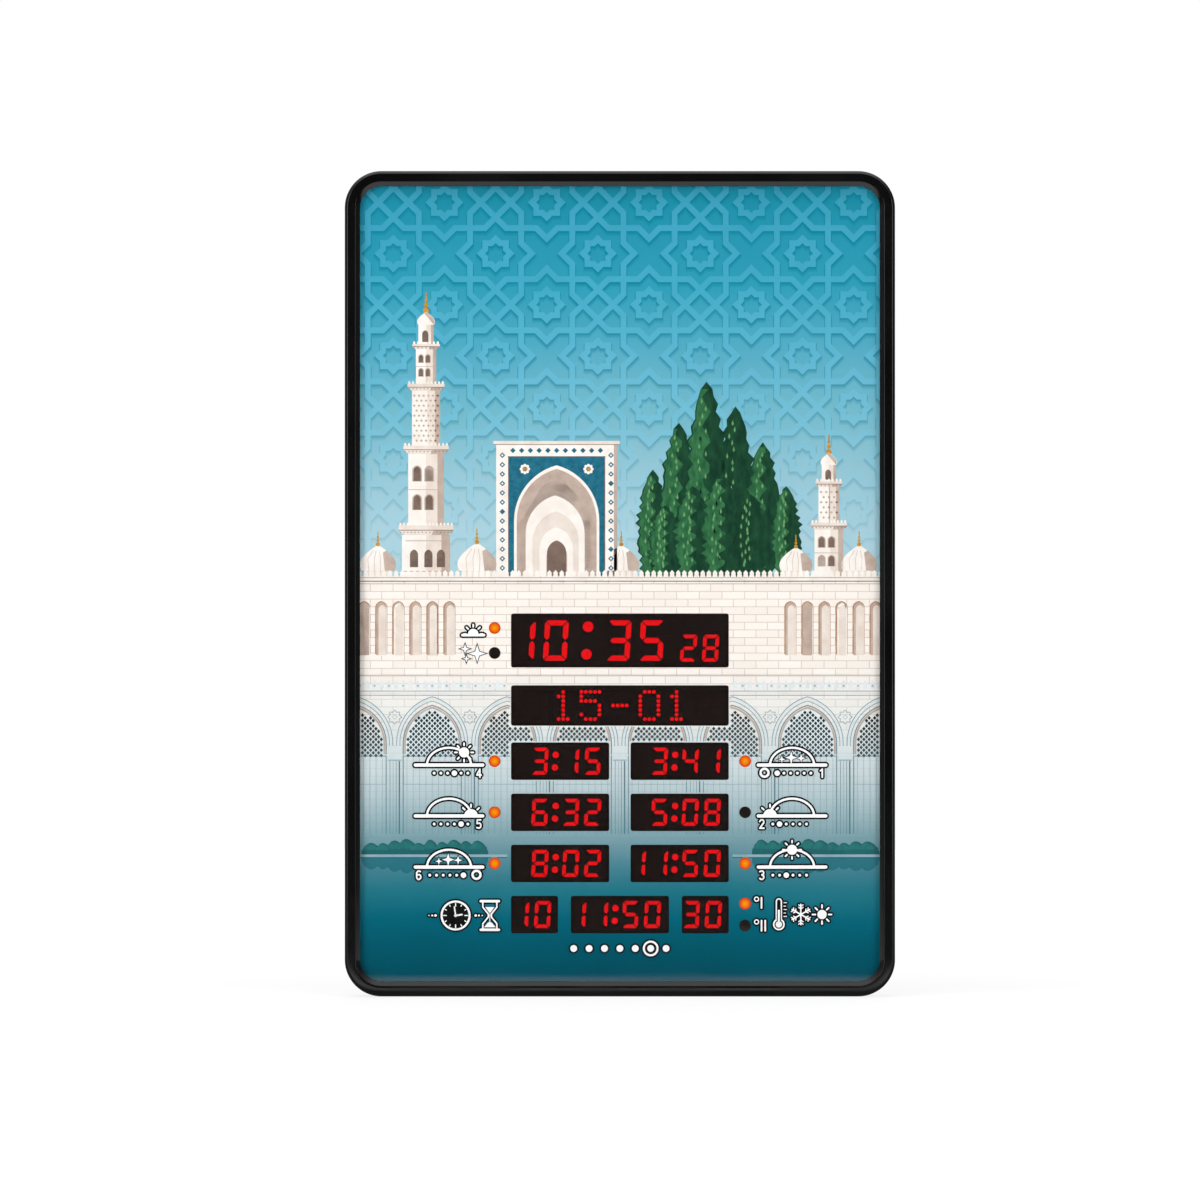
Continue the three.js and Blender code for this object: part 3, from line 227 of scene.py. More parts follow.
class Graph:
    # short ways to add and join nodes
    def __init__(self, tree):
        self.tree = tree

    def feed(self, socket, value):
        # links a socket or a list of them, or sets a plain value
        if isinstance(value, (bpy.types.NodeSocket, list)):
            for source in value if isinstance(value, list) else [value]:
                self.tree.links.new(source, socket)
        else:
            socket.default_value = value

    def node(self, kind, inputs=None, **settings):
        made = self.tree.nodes.new(kind)
        for key, value in settings.items():
            setattr(made, key, value)
        for key, value in (inputs or {}).items():
            self.feed(made.inputs[key], value)
        return made

    def out(self, kind, inputs=None, **settings):
        return self.node(kind, inputs, **settings).outputs[0]

    def math(self, operation, a, b=0.0, clamp=False):
        return self.out("ShaderNodeMath", {0: a, 1: b}, operation=operation, use_clamp=clamp)

    def times(self, a, b, clamp=False):
        return self.math("MULTIPLY", a, b, clamp)

    def mix(self, factor, a, b):
        return self.node("ShaderNodeMix", {0: factor, 6: a, 7: b}, data_type="RGBA").outputs[2]

    def place(self, output="Object"):
        return self.node("ShaderNodeTexCoord").outputs[output]

    def axes(self, vector):
        return self.node("ShaderNodeSeparateXYZ", {0: vector}).outputs

    def noise(self, scale, detail, vector=None, **more):
        where = self.place() if vector is None else vector
        return self.out("ShaderNodeTexNoise", {"Vector": where, "Scale": scale, "Detail": detail, **more})

    def ranged(self, value, low, high, start, end, shape="LINEAR"):
        limits = {0: value, 1: low, 2: high, 3: start, 4: end}
        return self.out("ShaderNodeMapRange", limits, interpolation_type=shape)

    def ramp(self, factor, stops, interpolation="LINEAR"):
        made = self.node("ShaderNodeValToRGB", {0: factor})
        band = made.color_ramp
        band.interpolation = interpolation
        while len(band.elements) < len(stops):
            band.elements.new(0.5)
        for element, (position, color) in zip(band.elements, stops):
            element.position = position
            element.color = color
        return made.outputs[0]

    def grouped(self, tree, **inputs):
        return self.node("ShaderNodeGroup", inputs, node_tree=tree).outputs


class Finish(Graph):
    # a material's graph round its own shader
    def __init__(self, name):
        self.material = bpy.data.materials.new(name)
        self.material.use_nodes = True
        super().__init__(self.material.node_tree)
        self.shader = self.tree.nodes["Principled BSDF"]

    def dress(self, values):
        for key, value in values.items():
            self.feed(self.shader.inputs[key], value)
        return self.material


def newGroup(name, kind, inputs, outputs):
    # a node group; inputs are (label, type, default), outputs (label, type)
    tree = bpy.data.node_groups.new(name, kind)
    for label, socketType, value in inputs:
        socket = tree.interface.new_socket(name=label, in_out="INPUT", socket_type="NodeSocket" + socketType)
        if value is not None:
            socket.default_value = value
    for label, socketType in outputs:
        tree.interface.new_socket(name=label, in_out="OUTPUT", socket_type="NodeSocket" + socketType)
    graph = Graph(tree)
    graph.inside = tree.nodes.new("NodeGroupInput").outputs
    graph.result = tree.nodes.new("NodeGroupOutput").inputs
    return graph


printTones = {
    "half": 0.2916, "driftScale": 9.0, "drift": 0.035,
    # share of the height from the foot, screen colour
    "bands": (
        (0.0, (0, 78, 96)), (0.045, (0, 90, 108)), (0.08, (2, 103, 122)), (0.113, (34, 119, 135)),
        (0.15, (56, 128, 144)), (0.19, (80, 140, 153)), (0.23, (116, 162, 174)), (0.30, (172, 198, 206)),
        (0.36, (190, 208, 213)), (0.44, (178, 213, 223)), (0.56, (172, 208, 219)), (0.63, (152, 198, 211)),
        (0.70, (121, 186, 203)), (0.80, (79, 168, 192)), (0.87, (48, 156, 181)), (0.93, (40, 149, 175)),
        (1.0, (24, 138, 162)),
    ),
    # heights from and to, values from and to
    "haze": (-0.225, -0.085, 1.0, 0.0), "fade": (0.0, 0.15, 0.3, 1.0), "shade": (0.02, 0.24, 0.22, 1.0),
    "lifted": (112, 204, 236), "deeper": (0, 128, 153), "specular": 0.03,
}


def screenStops(bands):
    return [(position, srgb(*color)) for position, color in bands]


def makePrintTone():
    # the colours of the print down its height, and how far the haze has closed in
    graph = newGroup(
        "printTone", "ShaderNodeTree", [("Lift", "Float", 0.0), ("Depth", "Float", 0.0)],
        [("Sky", "Color"), ("Haze", "Float"), ("Height", "Float")],
    )
    height = graph.axes(graph.place())[2]
    share = graph.math("DIVIDE", graph.math("ADD", height, printTones["half"]), 2 * printTones["half"], clamp=True)
    drift = graph.math("SUBTRACT", graph.noise(printTones["driftScale"], 2.0), 0.5)
    share = graph.math("ADD", share, graph.times(drift, printTones["drift"]), clamp=True)
    tone = graph.ramp(share, screenStops(printTones["bands"]))
    fade = graph.ranged(height, *printTones["fade"], "SMOOTHSTEP")
    shade = graph.ranged(height, *printTones["shade"])
    lighter = graph.mix(graph.times(graph.inside["Lift"], fade), tone, srgb(*printTones["lifted"]))
    deeper = graph.mix(graph.times(graph.inside["Depth"], shade), lighter, srgb(*printTones["deeper"]))
    graph.feed(graph.result["Sky"], deeper)
    graph.feed(graph.result["Haze"], graph.ranged(height, *printTones["haze"], "SMOOTHSTEP"))
    graph.feed(graph.result["Height"], height)
    return graph.tree


def makeGrain():
    # fine moulded grain: a height for Bump and a mask for patches of wear
    graph = newGroup(
        "mouldGrain", "ShaderNodeTree", [("Scale", "Float", 900.0), ("Patches", "Float", 14.0)],
        [("Height", "Float"), ("Wear", "Float")],
    )
    fine = graph.noise(graph.inside["Scale"], 4.0, Roughness=0.6)
    cells = graph.out("ShaderNodeTexVoronoi", {"Vector": graph.place(), "Scale": graph.inside["Scale"]}, feature="F1")
    height = graph.math("ADD", graph.times(fine, 0.7), graph.times(cells, 0.5))
    graph.feed(graph.result["Height"], height)
    graph.feed(graph.result["Wear"], graph.ranged(graph.noise(graph.inside["Patches"], 5.0), 0.35, 0.7, 0.0, 1.0))
    return graph.tree


def makeEdgeWear():
    # rubbed edges: brightens where the surface turns sharply
    graph = newGroup(
        "edgeWear", "ShaderNodeTree", [("Width", "Float", 0.0006), ("Amount", "Float", 0.4)], [("Mask", "Float")],
    )
    rounded = graph.out("ShaderNodeBevel", {"Radius": graph.inside["Width"]}, samples=4)
    plain = graph.node("ShaderNodeNewGeometry").outputs["Normal"]
    turn = graph.node("ShaderNodeVectorMath", {0: rounded, 1: plain}, operation="DOT_PRODUCT").outputs["Value"]
    broken = graph.times(graph.ranged(turn, 0.98, 0.8, 0.0, 1.0), graph.noise(60.0, 4.0))
    graph.feed(graph.result["Mask"], graph.times(broken, graph.inside["Amount"], clamp=True))
    return graph.tree


printTone = makePrintTone()
mouldGrain = makeGrain()
edgeWear = makeEdgeWear()


def solidFinish(
    name, color, roughness, metallic=0.0, grain=900.0, bump=0.15, spread=0.25, specular=0.5, wear=0.3, coat=0.0,
):
    # moulded or metal surface with grain, patches and rubbed edges
    graph = Finish(name)
    base = srgb(*color)
    surface = graph.grouped(mouldGrain, Scale=grain)
    rubbed = graph.grouped(edgeWear, Amount=wear)
    worn = graph.mix(surface["Wear"], tinted(base, 1 - spread), tinted(base, 1 + spread, 0.04 * spread))
    return graph.dress({
        "Base Color": graph.mix(rubbed["Mask"], worn, tinted(base, 1.6, 0.05)),
        "Roughness": graph.ranged(surface["Wear"], 0.0, 1.0, max(roughness - 0.07, 0.02), min(roughness + 0.07, 1)),
        "Metallic": metallic, "Specular IOR Level": specular, "Coat Weight": coat, "Coat Roughness": 0.08,
        "Normal": graph.out("ShaderNodeBump", {"Height": surface["Height"], "Strength": bump, "Distance": 0.0004}),
    })


def makeInk(name, color, shade, scale, haze=1.0, streak=0.0):
    # a printed colour with a soft hand-tinted variation, lost in the haze lower down
    graph = Finish(name)
    tone = graph.grouped(printTone)
    stretch = graph.out("ShaderNodeMapping", {"Vector": graph.place(), "Scale": (1.0, 1.0, 1.0 - streak)})
    patch = graph.ranged(graph.noise(scale, 6.0, stretch, Roughness=0.62), 0.36, 0.66, 0.0, 1.0)
    base = graph.mix(patch, srgb(*color), srgb(*shade))
    return graph.dress({
        "Base Color": hazed(graph, tone, base, haze), "Roughness": 0.5, "Specular IOR Level": printTones["specular"],
    })


def hazed(graph, tone, color, most):
    # printed colour that sinks into the haze at the foot of the sheet
    return graph.mix(graph.times(tone["Haze"], most), color, tone["Sky"])


print("shader groups ready")


# front bezel

bezel = {
    "width": 400, "height": 600, "depth": 36, "corner": 26.7, "cornerSteps": 22, "steps": 4, "smooth": 28,
    # inset from the outline, depth from the front, rounding
    "profile": (
        (0, 20, 0.4), (0, 2.3, 1.4), (1.9, 0, 1.1), (7.7, 0, 0.5), (11.1, 2.7, 0.2), (11.1, 3.2, 0), (2.2, 3.2, 0),
        (2.2, 20, 0.3),
    ),
}

glossBlack = solidFinish("glossBlack", (9, 9, 10), 0.14, grain=420, bump=0.025, specular=0.42, wear=0.12, spread=0.06)


def caseLoop(inset, depth):
    # one loop round the case outline, as the solid has it
    radius = max(bezel["corner"] - inset, 2)
    halfWidth = bezel["width"] / 2 - inset - radius
    halfHeight = bezel["height"] / 2 - inset - radius
    loop = []
    for quarter, (sideX, sideZ) in enumerate(((1, 1), (-1, 1), (-1, -1), (1, -1))):
        for step in range(bezel["cornerSteps"] + 1):
            angle = (quarter + step / bezel["cornerSteps"]) * math.pi / 2
            x, z = polar(sideX * halfWidth, sideZ * halfHeight, radius, angle)
            loop.append((x, depth - bezel["depth"], z))
    return loop


def caseRings(shape, profile):
    return [[shape.verts.new(Vector(p) * mm) for p in caseLoop(inset, depth)] for inset, depth in profile]


def buildBezel():
    shape = bmesh.new()
    rings = caseRings(shape, filleted(bezel["profile"], bezel["steps"]))
    bridge(shape, rings + rings[:1])
    return pieceFrom("bezel_shell", outward(shape), glossBlack, bezel["smooth"])


settle(buildBezel(), "case", "gloss_black_plastic", "front_bezel")
print("bezel built")


# clear panel

panel = {"inset": 8.25, "front": 3.45, "back": 6.45, "index": 1.58, "smooth": 30}


def makeClearAcrylic():
    # an almost clear sheet: it shows only its reflection, and a little dust
    graph = Finish("clearAcrylic")
    gloss = graph.out("ShaderNodeFresnel", {"IOR": panel["index"]})
    # both faces' reflection is counted on the outer face, so no slanting view is shut out by the inner one
    outer = graph.math("SUBTRACT", 1.0, graph.node("ShaderNodeNewGeometry").outputs["Backfacing"])
    graph.material.surface_render_method = "BLENDED"
    return graph.dress({
        "Base Color": srgb(236, 242, 246), "Metallic": 1.0, "Alpha": graph.times(gloss, outer),
        "Roughness": graph.ranged(graph.noise(16.0, 5.0), 0.3, 0.75, 0.015, 0.09),
    })


def buildPanel():
    shape = bmesh.new()
    rings = caseRings(shape, [(panel["inset"], panel["front"]), (panel["inset"], panel["back"])])
    bridge(shape, rings)
    for ring in rings:
        shape.faces.new(ring)
    return pieceFrom("clear_panel", outward(shape), makeClearAcrylic(), panel["smooth"])


settle(buildPanel(), "case", "clear_acrylic", "face_panel")


# printed sheet

layout = {
    "front": -29.3, "back": -28.9, "windowRound": 1.9, "lampRadius": 4.0, "lampGap": 0.3, "lampSides": 40,
    # windows: centre and size
    "time": (0, -41.3, 158.4, 39.3), "date": (0, -88.6, 158.4, 29.4),
    "rowX": 43.475, "rows": (-129.1, -166.3, -203.5), "rowSize": (71.45, 27.3),
    "bottomZ": -240.7, "pairX": 62.1, "pairSize": (34.2, 27.3),
}

windows = [layout["time"], layout["date"], (0, layout["bottomZ"], *layout["rowSize"])]
for sign in (-1, 1):
    windows.append((sign * layout["pairX"], layout["bottomZ"], *layout["pairSize"]))
    windows += [(sign * layout["rowX"], z, *layout["rowSize"]) for z in layout["rows"]]


def nodeCentre(name):
    low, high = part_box(name)
    middle = (low + high) / 2 / mm
    return (middle.x, middle.z)


litLamps = ["am_lamp", "asr_lamp", "maghrib_lamp", "isha_lamp", "fajr_lamp", "dhuhr_lamp", "celsius_lamp"]
restingLamps = ["pm_lamp", "sunrise_lamp", "fahrenheit_lamp"]
lampPlaces = {name: nodeCentre(name) for name in litLamps + restingLamps}

printedWall = {
    # brick texture sockets, metres
    "stones": {
        "Color1": srgb(252, 245, 238), "Color2": srgb(247, 238, 229), "Mortar": srgb(212, 194, 183), "Scale": 1.0,
        "Mortar Size": 0.00032, "Mortar Smooth": 0.5, "Brick Width": 0.0165, "Row Height": 0.0056,
    },
    "stain": srgb(250, 248, 243), "cool": srgb(214, 228, 231), "back": srgb(22, 22, 24),
    # heights from and to, shares from and to
    "coolRange": (-0.125, -0.055, 1.0, 0.0), "top": (0.0052, 0.0055, 1.0, 0.0),
}


def makePrintedFilm():
    # sky above, a pale stone wall below, haze at the foot
    graph = Finish("printedFilm")
    tone = graph.grouped(printTone)
    axes = graph.axes(graph.place())
    flat = graph.out("ShaderNodeCombineXYZ", {0: axes[0], 1: axes[2]})
    stones = graph.node("ShaderNodeTexBrick", {"Vector": flat, **printedWall["stones"]}).outputs["Color"]
    stained = graph.mix(graph.times(graph.noise(26.0, 6.0), 0.16), stones, printedWall["stain"])
    cool = graph.times(graph.ranged(tone["Height"], *printedWall["coolRange"]), 0.72)
    wall = hazed(graph, tone, graph.mix(cool, stained, printedWall["cool"]), 1.0)
    printed = graph.mix(graph.ranged(tone["Height"], *printedWall["top"]), tone["Sky"], wall)
    facing = graph.axes(graph.node("ShaderNodeNewGeometry").outputs["True Normal"])[1]
    return graph.dress({
        "Base Color": graph.mix(graph.math("GREATER_THAN", facing, 0.5), printed, printedWall["back"]),
        "Roughness": graph.ranged(graph.noise(2600.0, 1.0), 0.3, 0.7, 0.42, 0.55),
        "Specular IOR Level": printTones["specular"],
    })


def flatSheet(name, outlines, frontY, backY, material):
    # filled outlines with holes, given in x and z, made into a thin closed sheet
    curve = bpy.data.curves.new(name, "CURVE")
    curve.dimensions = "2D"
    curve.fill_mode = "BOTH"
    curve.extrude = (backY - frontY) / 2 * mm
    for points in outlines:
        line = curve.splines.new("POLY")
        line.points.add(len(points) - 1)
        line.use_cyclic_u = True
        for point, (x, z) in zip(line.points, points):
            point.co = (x * mm, z * mm, 0, 1)
    holder = newObject(name + "_outline", curve)
    mesh = evaluatedMesh(holder)
    bpy.data.objects.remove(holder)
    shape = bmesh.new()
    shape.from_mesh(mesh)
    bpy.data.meshes.remove(mesh)
    turn = Matrix.Translation((0, (frontY + backY) / 2 * mm, 0)) @ Matrix.Rotation(math.pi / 2, 4, "X")
    bmesh.ops.transform(shape, matrix=turn, verts=shape.verts)
    bmesh.ops.remove_doubles(shape, verts=shape.verts, dist=1e-6)
    return pieceFrom(name, outward(shape), material)


def buildPrint():
    outlines = [[(x, z) for x, y, z in caseLoop(panel["inset"], 0)]]
    outlines += [roundBox(*window, layout["windowRound"]) for window in windows]
    radius = layout["lampRadius"] + layout["lampGap"]
    outlines += [disc(x, z, radius, layout["lampSides"]) for x, z in lampPlaces.values()]
    return flatSheet("print_film", outlines, layout["front"], layout["back"], makePrintedFilm())


settle(buildPrint(), "case", "printed_film", "print_sheet")
print("panel and print built")


# geometry node trees

def newGeometryTree(name, inputs):
    labels = [("Geometry", "Geometry", None), *inputs, ("Material", "Material", None)]
    return newGroup(name, "GeometryNodeTree", labels, [("Geometry", "Geometry")])


def finished(tree, geometry):
    # real geometry with the material put on
    solid = tree.out("GeometryNodeRealizeInstances", {0: geometry})
    painted = tree.out("GeometryNodeSetMaterial", {"Geometry": solid, "Material": tree.inside["Material"]})
    tree.feed(tree.result[0], painted)
    return tree.tree


def grown(name, tree, values, places=((0, 0),), y=0):
    # runs a tree on loose points and returns the plain mesh as a new piece
    mesh = bpy.data.meshes.new(name + "_points")
    mesh.from_pydata([(x * mm, y * mm, z * mm) for x, z in places], [], [])
    host = newObject(name + "_points", mesh)
    modifier = host.modifiers.new("grow", "NODES")
    modifier.node_group = tree
    for item in tree.interface.items_tree:
        if item.item_type == "SOCKET" and item.in_out == "INPUT" and item.name in values:
            modifier[item.identifier] = values[item.name]
    made = evaluatedMesh(host)
    bpy.data.objects.remove(host)
    made.name = name
    if "Source" in values:
        bpy.data.objects.remove(values["Source"])
    return newObject(name, made)


# a strap's reach at a square corner, and the radius of a star's notches as a share of its points'
diagonal, notch = 1.4142, 0.76537


def makeLatticeTree():
    # eight-pointed stars on a staggered grid, a smaller star in each and a diamond between every other pair
    tree = newGeometryTree("starLattice", [
        ("Pitch", "Float", 0.0744), ("Strap", "Float", 0.0044), ("Star", "Float", 0.0263),
        ("Rosette", "Float", 0.0106), ("Diamond", "Float", 0.0109), ("Columns", "Int", 8), ("Rows", "Int", 7),
        ("Thickness", "Float", 0.000008),
    ])
    inside = tree.inside
    half = tree.times(inside["Pitch"], 0.5)

    def moved(geometry, offset):
        shift = tree.out("ShaderNodeCombineXYZ", offset)
        return tree.out("GeometryNodeTransform", {"Geometry": geometry, "Translation": shift})

    def joined(parts):
        return tree.out("GeometryNodeJoinGeometry", {0: parts})

    def sites(shiftX, shiftZ):
        sizes = {"Vertices X": inside["Columns"], "Vertices Y": inside["Rows"]}
        for label, count in (("Size X", "Columns"), ("Size Y", "Rows")):
            sizes[label] = tree.times(inside["Pitch"], tree.math("SUBTRACT", inside[count], 1.0))
        return moved(tree.out("GeometryNodeMeshGrid", sizes), {0: shiftX, 1: shiftZ})

    def strapRing(reach, lift, star=True):
        # an outline and its inner copy, filled as a strap of even width
        rings = []
        for side in (0.5, -0.5):
            radius = tree.math("ADD", inside[reach], tree.times(inside["Strap"], side * diagonal))
            if star:
                sizes = {"Points": 8, "Inner Radius": tree.times(radius, notch), "Outer Radius": radius}
                rings.append(tree.out("GeometryNodeCurveStar", sizes))
            else:
                rings.append(tree.out("GeometryNodeCurvePrimitiveCircle", {"Resolution": 4, "Radius": radius}))
        face = tree.out("GeometryNodeFillCurve", {"Curve": joined(rings)})
        raised = tree.out("GeometryNodeExtrudeMesh", {
            "Mesh": face, "Offset Scale": inside["Thickness"], "Individual": False,
        })
        slab = joined([raised, tree.out("GeometryNodeFlipFaces", {"Mesh": face})])
        closed = tree.out("GeometryNodeMergeByDistance", {"Geometry": slab, "Distance": 1e-6})
        return moved(closed, {2: tree.times(inside["Thickness"], lift)})

    def spreadOver(points, shape):
        return tree.out("GeometryNodeInstanceOnPoints", {"Points": points, "Instance": shape})

    # each family lies a hair higher than the last, so that straps cross without sharing a face
    lower, upper = [joined([strapRing("Star", lift), strapRing("Rosette", lift)]) for lift in (0.0, 0.25)]
    return finished(tree, joined([
        spreadOver(sites(0.0, 0.0), lower), spreadOver(sites(half, half), upper),
        spreadOver(sites(0.0, half), strapRing("Diamond", 0.5, star=False)),
    ]))


def makeScatterTree():
    # stands a source object on every point of the host
    tree = newGeometryTree("standOnPoints", [("Source", "Object", None), ("Size", "Float", 1.0)])
    source = tree.node("GeometryNodeObjectInfo", {"Object": tree.inside["Source"]}).outputs["Geometry"]
    return finished(tree, tree.out("GeometryNodeInstanceOnPoints", {
        "Points": tree.inside["Geometry"], "Instance": source, "Scale": tree.inside["Size"],
    }))


def makeRowTree():
    # repeats a source object along a straight row
    tree = newGeometryTree("repeatInRow", [
        ("Source", "Object", None), ("Count", "Int", 10), ("Start", "Vector", None), ("Step", "Vector", None),
    ])
    source = tree.node("GeometryNodeObjectInfo", {"Object": tree.inside["Source"]}).outputs["Geometry"]
    row = tree.out("GeometryNodeMeshLine", {
        "Count": tree.inside["Count"], "Start Location": tree.inside["Start"], "Offset": tree.inside["Step"],
    }, mode="OFFSET")
    return finished(tree, tree.out("GeometryNodeInstanceOnPoints", {"Points": row, "Instance": source}))


scatterTree = makeScatterTree()
rowTree = makeRowTree()


def stoodOn(name, places, y, source, material):
    return grown(name, scatterTree, {"Source": source, "Material": material}, places, y)


def rowOf(name, source, count, start, step, material):
    return grown(name, rowTree, {
        "Source": source, "Count": count, "Material": material,
        "Start": Vector(start) * mm, "Step": Vector(step) * mm,
    })


def prismSource(name, points, thickness):
    # a flat shape round the origin, for a tree to repeat
    shape = bmesh.new()
    addPrism(shape, points, -thickness, 0)
    return newObject(name, asMesh(name, shape))


print("trees ready")


# star lattice of the sky

lattice = {
    "pitch": 74.4, "strap": 4.3, "star": 26.3, "rosette": 10.7, "diamond": 10.9,
    "originX": -164.8, "topZ": 277.3, "columns": 8, "rows": 5, "lowestZ": 6.2,
    "clipX": 191.5, "clipZ": 291.5, "clipRadius": 18.2, "clipAngles": (22.5, 45, 67.5),
    "layers": (
        # name, drop, extra width, depth on the sheet, lighter, darker
        ("lattice_shadow_soft", -2.7, 1.6, -29.32, 0.0, 0.26), ("lattice_shadow_far", -1.8, 1.2, -29.335, 0.0, 0.5),
        ("lattice_shadow_near", -0.95, 0.8, -29.35, 0.0, 0.85), ("lattice_straps", 0.0, 0.0, -29.365, 0.23, 0.0),
    ),
}


def makeStrapInk(name, lift, depth):
    # straps a little lighter than the sky, or their soft shadow, fading towards the horizon
    graph = Finish(name)
    uneven = graph.ranged(graph.noise(22.0, 3.0), 0.3, 0.7, 0.8, 1.1)
    shares = {"Lift": graph.times(uneven, lift), "Depth": graph.times(uneven, depth)}
    return graph.dress({
        "Base Color": graph.grouped(printTone, **shares)["Sky"], "Roughness": 0.48,
        "Specular IOR Level": printTones["specular"],
    })


def clipToPrint(shape):
    # trims the pattern to the sheet, corners too
    edge, high, radius = (lattice[key] * mm for key in ("clipX", "clipZ", "clipRadius"))
    planes = [((edge, 0, 0), (1, 0, 0)), ((-edge, 0, 0), (-1, 0, 0)), ((0, 0, high), (0, 0, 1))]
    planes.append(((0, 0, lattice["lowestZ"] * mm), (0, 0, -1)))
    for side in (-1, 1):
        for degrees in lattice["clipAngles"]:
            a = math.radians(degrees)
            normal = Vector((side * math.cos(a), 0, math.sin(a)))
            planes.append((Vector((side * (edge - radius), 0, high - radius)) + normal * radius, normal))
    for point, normal in planes:
        parts = shape.verts[:] + shape.edges[:] + shape.faces[:]
        cut = bmesh.ops.bisect_plane(shape, geom=parts, plane_co=point, plane_no=normal, clear_outer=True, dist=1e-8)
        rims = [part for part in cut["geom_cut"] if isinstance(part, bmesh.types.BMEdge) and part.is_boundary]
        bmesh.ops.holes_fill(shape, edges=rims, sides=0)


def buildLattice():
    tree = makeLatticeTree()
    values = {key.capitalize(): lattice[key] * mm for key in ("pitch", "star", "rosette", "diamond")}
    values.update(Columns=lattice["columns"], Rows=lattice["rows"])
    pitch = lattice["pitch"]
    middleX = lattice["originX"] + pitch * (lattice["columns"] - 1) / 2 - pitch
    for name, drop, extra, y, lift, depth in lattice["layers"]:
        values.update(Strap=(lattice["strap"] + extra) * mm, Material=makeStrapInk(name + "_ink", lift, depth))
        piece = grown(name, tree, values)
        middleZ = lattice["topZ"] - pitch * (lattice["rows"] - 1) / 2 + pitch / 2 + drop
        place = Matrix.Translation((middleX * mm, y * mm, middleZ * mm)) @ Matrix.Rotation(math.pi / 2, 4, "X")
        shape = bmesh.new()
        shape.from_mesh(piece.data)
        bmesh.ops.transform(shape, matrix=place, verts=shape.verts)
        clipToPrint(shape)
        shape.to_mesh(piece.data)
        shape.free()
        toSheet(piece)


buildLattice()
print("lattice built")


# seven-segment displays

digits = {
    "slant": 0.061, "gap": 0.5, "sunk": -27.28, "floor": -26.85, "dotSides": 28,
    "large": {
        "height": 29.5, "width": 17.3, "stroke": 3.85, "corner": 0.4, "pitch": 24.0, "colonGap": 21.7, "dot": 3.85,
        "spacing": 20.0,
    },
    "small": {
        "height": 19.7, "width": 11.7, "stroke": 2.65, "corner": 0.42, "pitch": 16.0, "colonGap": 6.4, "dot": 2.35,
        "spacing": 9.2,
    },
    "timeX": -23.7, "fourOffset": -3.5, "pairOffset": -2.1,
    "secondsX": 61.24, "secondsOffset": -3.2, "secondsDrop": 5.6,
}

readings = {
    "time_display": "10:35", "seconds_display": "28", "asr_display": " 3:15", "maghrib_display": " 6:32",
    "isha_display": " 8:02", "fajr_display": " 3:41", "sunrise_display": " 5:08", "dhuhr_display": "11:50",
    "jumuah_display": "11:50", "iqama_display": "10", "temperature_display": "30",
}

# segments: top, bottom, middle, upper right, upper left, lower right, lower left
litSegments = {
    "0": (0, 1, 3, 4, 5, 6), "1": (3, 5), "2": (0, 1, 2, 3, 6), "3": (0, 1, 2, 3, 5), "4": (2, 3, 4, 5),
    "5": (0, 1, 2, 4, 5), "6": (0, 1, 2, 4, 5, 6), "8": (0, 1, 2, 3, 4, 5, 6), " ": (),
}


def segmentOutlines(x, z, style):
    # the seven segments of one digit, leaning to the right
    gap, stroke = digits["gap"], style["stroke"]
    cut = stroke * style["corner"]
    right, top = style["width"] / 2, style["height"] / 2
    across = [
        (-right + cut + gap, top), (right - cut - gap, top), (right - cut / 2 - gap, top - cut / 2),
        (right - stroke - gap, top - stroke), (-right + stroke + gap, top - stroke),
        (-right + cut / 2 + gap, top - cut / 2),
    ]
    upright = [
        (right, top - cut - gap), (right, stroke / 2 + gap), (right - stroke / 2, gap),
        (right - stroke, stroke / 2 + gap), (right - stroke, top - stroke - gap),
        (right - cut / 2, top - cut / 2 - gap),
    ]
    middle = [
        (-right + stroke / 2 + gap, 0), (-right + stroke + gap, stroke / 2), (right - stroke - gap, stroke / 2),
        (right - stroke / 2 - gap, 0), (right - stroke - gap, -stroke / 2), (-right + stroke + gap, -stroke / 2),
    ]
    turned = (
        (across, 1, 1), (across, 1, -1), (middle, 1, 1), (upright, 1, 1), (upright, -1, 1), (upright, 1, -1),
        (upright, -1, -1),
    )
    outlines = [placed(points, 0, 0, *signs) for points, *signs in turned]
    return [[(x + px + pz * digits["slant"], z + pz) for px, pz in points] for points in outlines]


def makeSegmentRed():
    # lit plastic that glows evenly, a touch brighter in small cloudy patches
    graph = Finish("segmentRed")
    cloud = graph.noise(420.0, 1.0)
    deep, bright, rest = srgb(233, 0, 10), srgb(240, 0, 14), srgb(40, 2, 3)
    return graph.dress({
        "Emission Color": graph.mix(graph.times(cloud, 0.5), deep, bright), "Emission Strength": 3.7,
        "Base Color": graph.mix(cloud, rest, deep), "Roughness": 0.4,
    })


def makeRestingLens(name, *color):
    graph = Finish(name)
    tint = graph.mix(graph.noise(300.0, 3.0), srgb(*color), tinted(srgb(*color), 1.5))
    return graph.dress({"Base Color": tint, "Roughness": 0.3, "Specular IOR Level": 0.3})


segmentRed = makeSegmentRed()
restingSegment = makeRestingLens("restingSegment", 30, 20, 18)


def digitPlaces(style, x, count):
    near, pitch = (style["colonGap"] + style["pitch"]) / 2, style["pitch"]
    if count == 2:
        return [x - pitch / 2, x + pitch / 2]
    return [x - near - pitch, x - near, x + near, x + near + pitch]


def readingPlace(node, text):
    # middle of the digits, which stand a little off the middle of their window
    x, z = nodeCentre(node)
    if node == "time_display":
        return digits["timeX"], z
    if node == "seconds_display":
        return digits["secondsX"] + digits["secondsOffset"], z - digits["secondsDrop"]
    return x + digits["fourOffset" if ":" in text else "pairOffset"], z


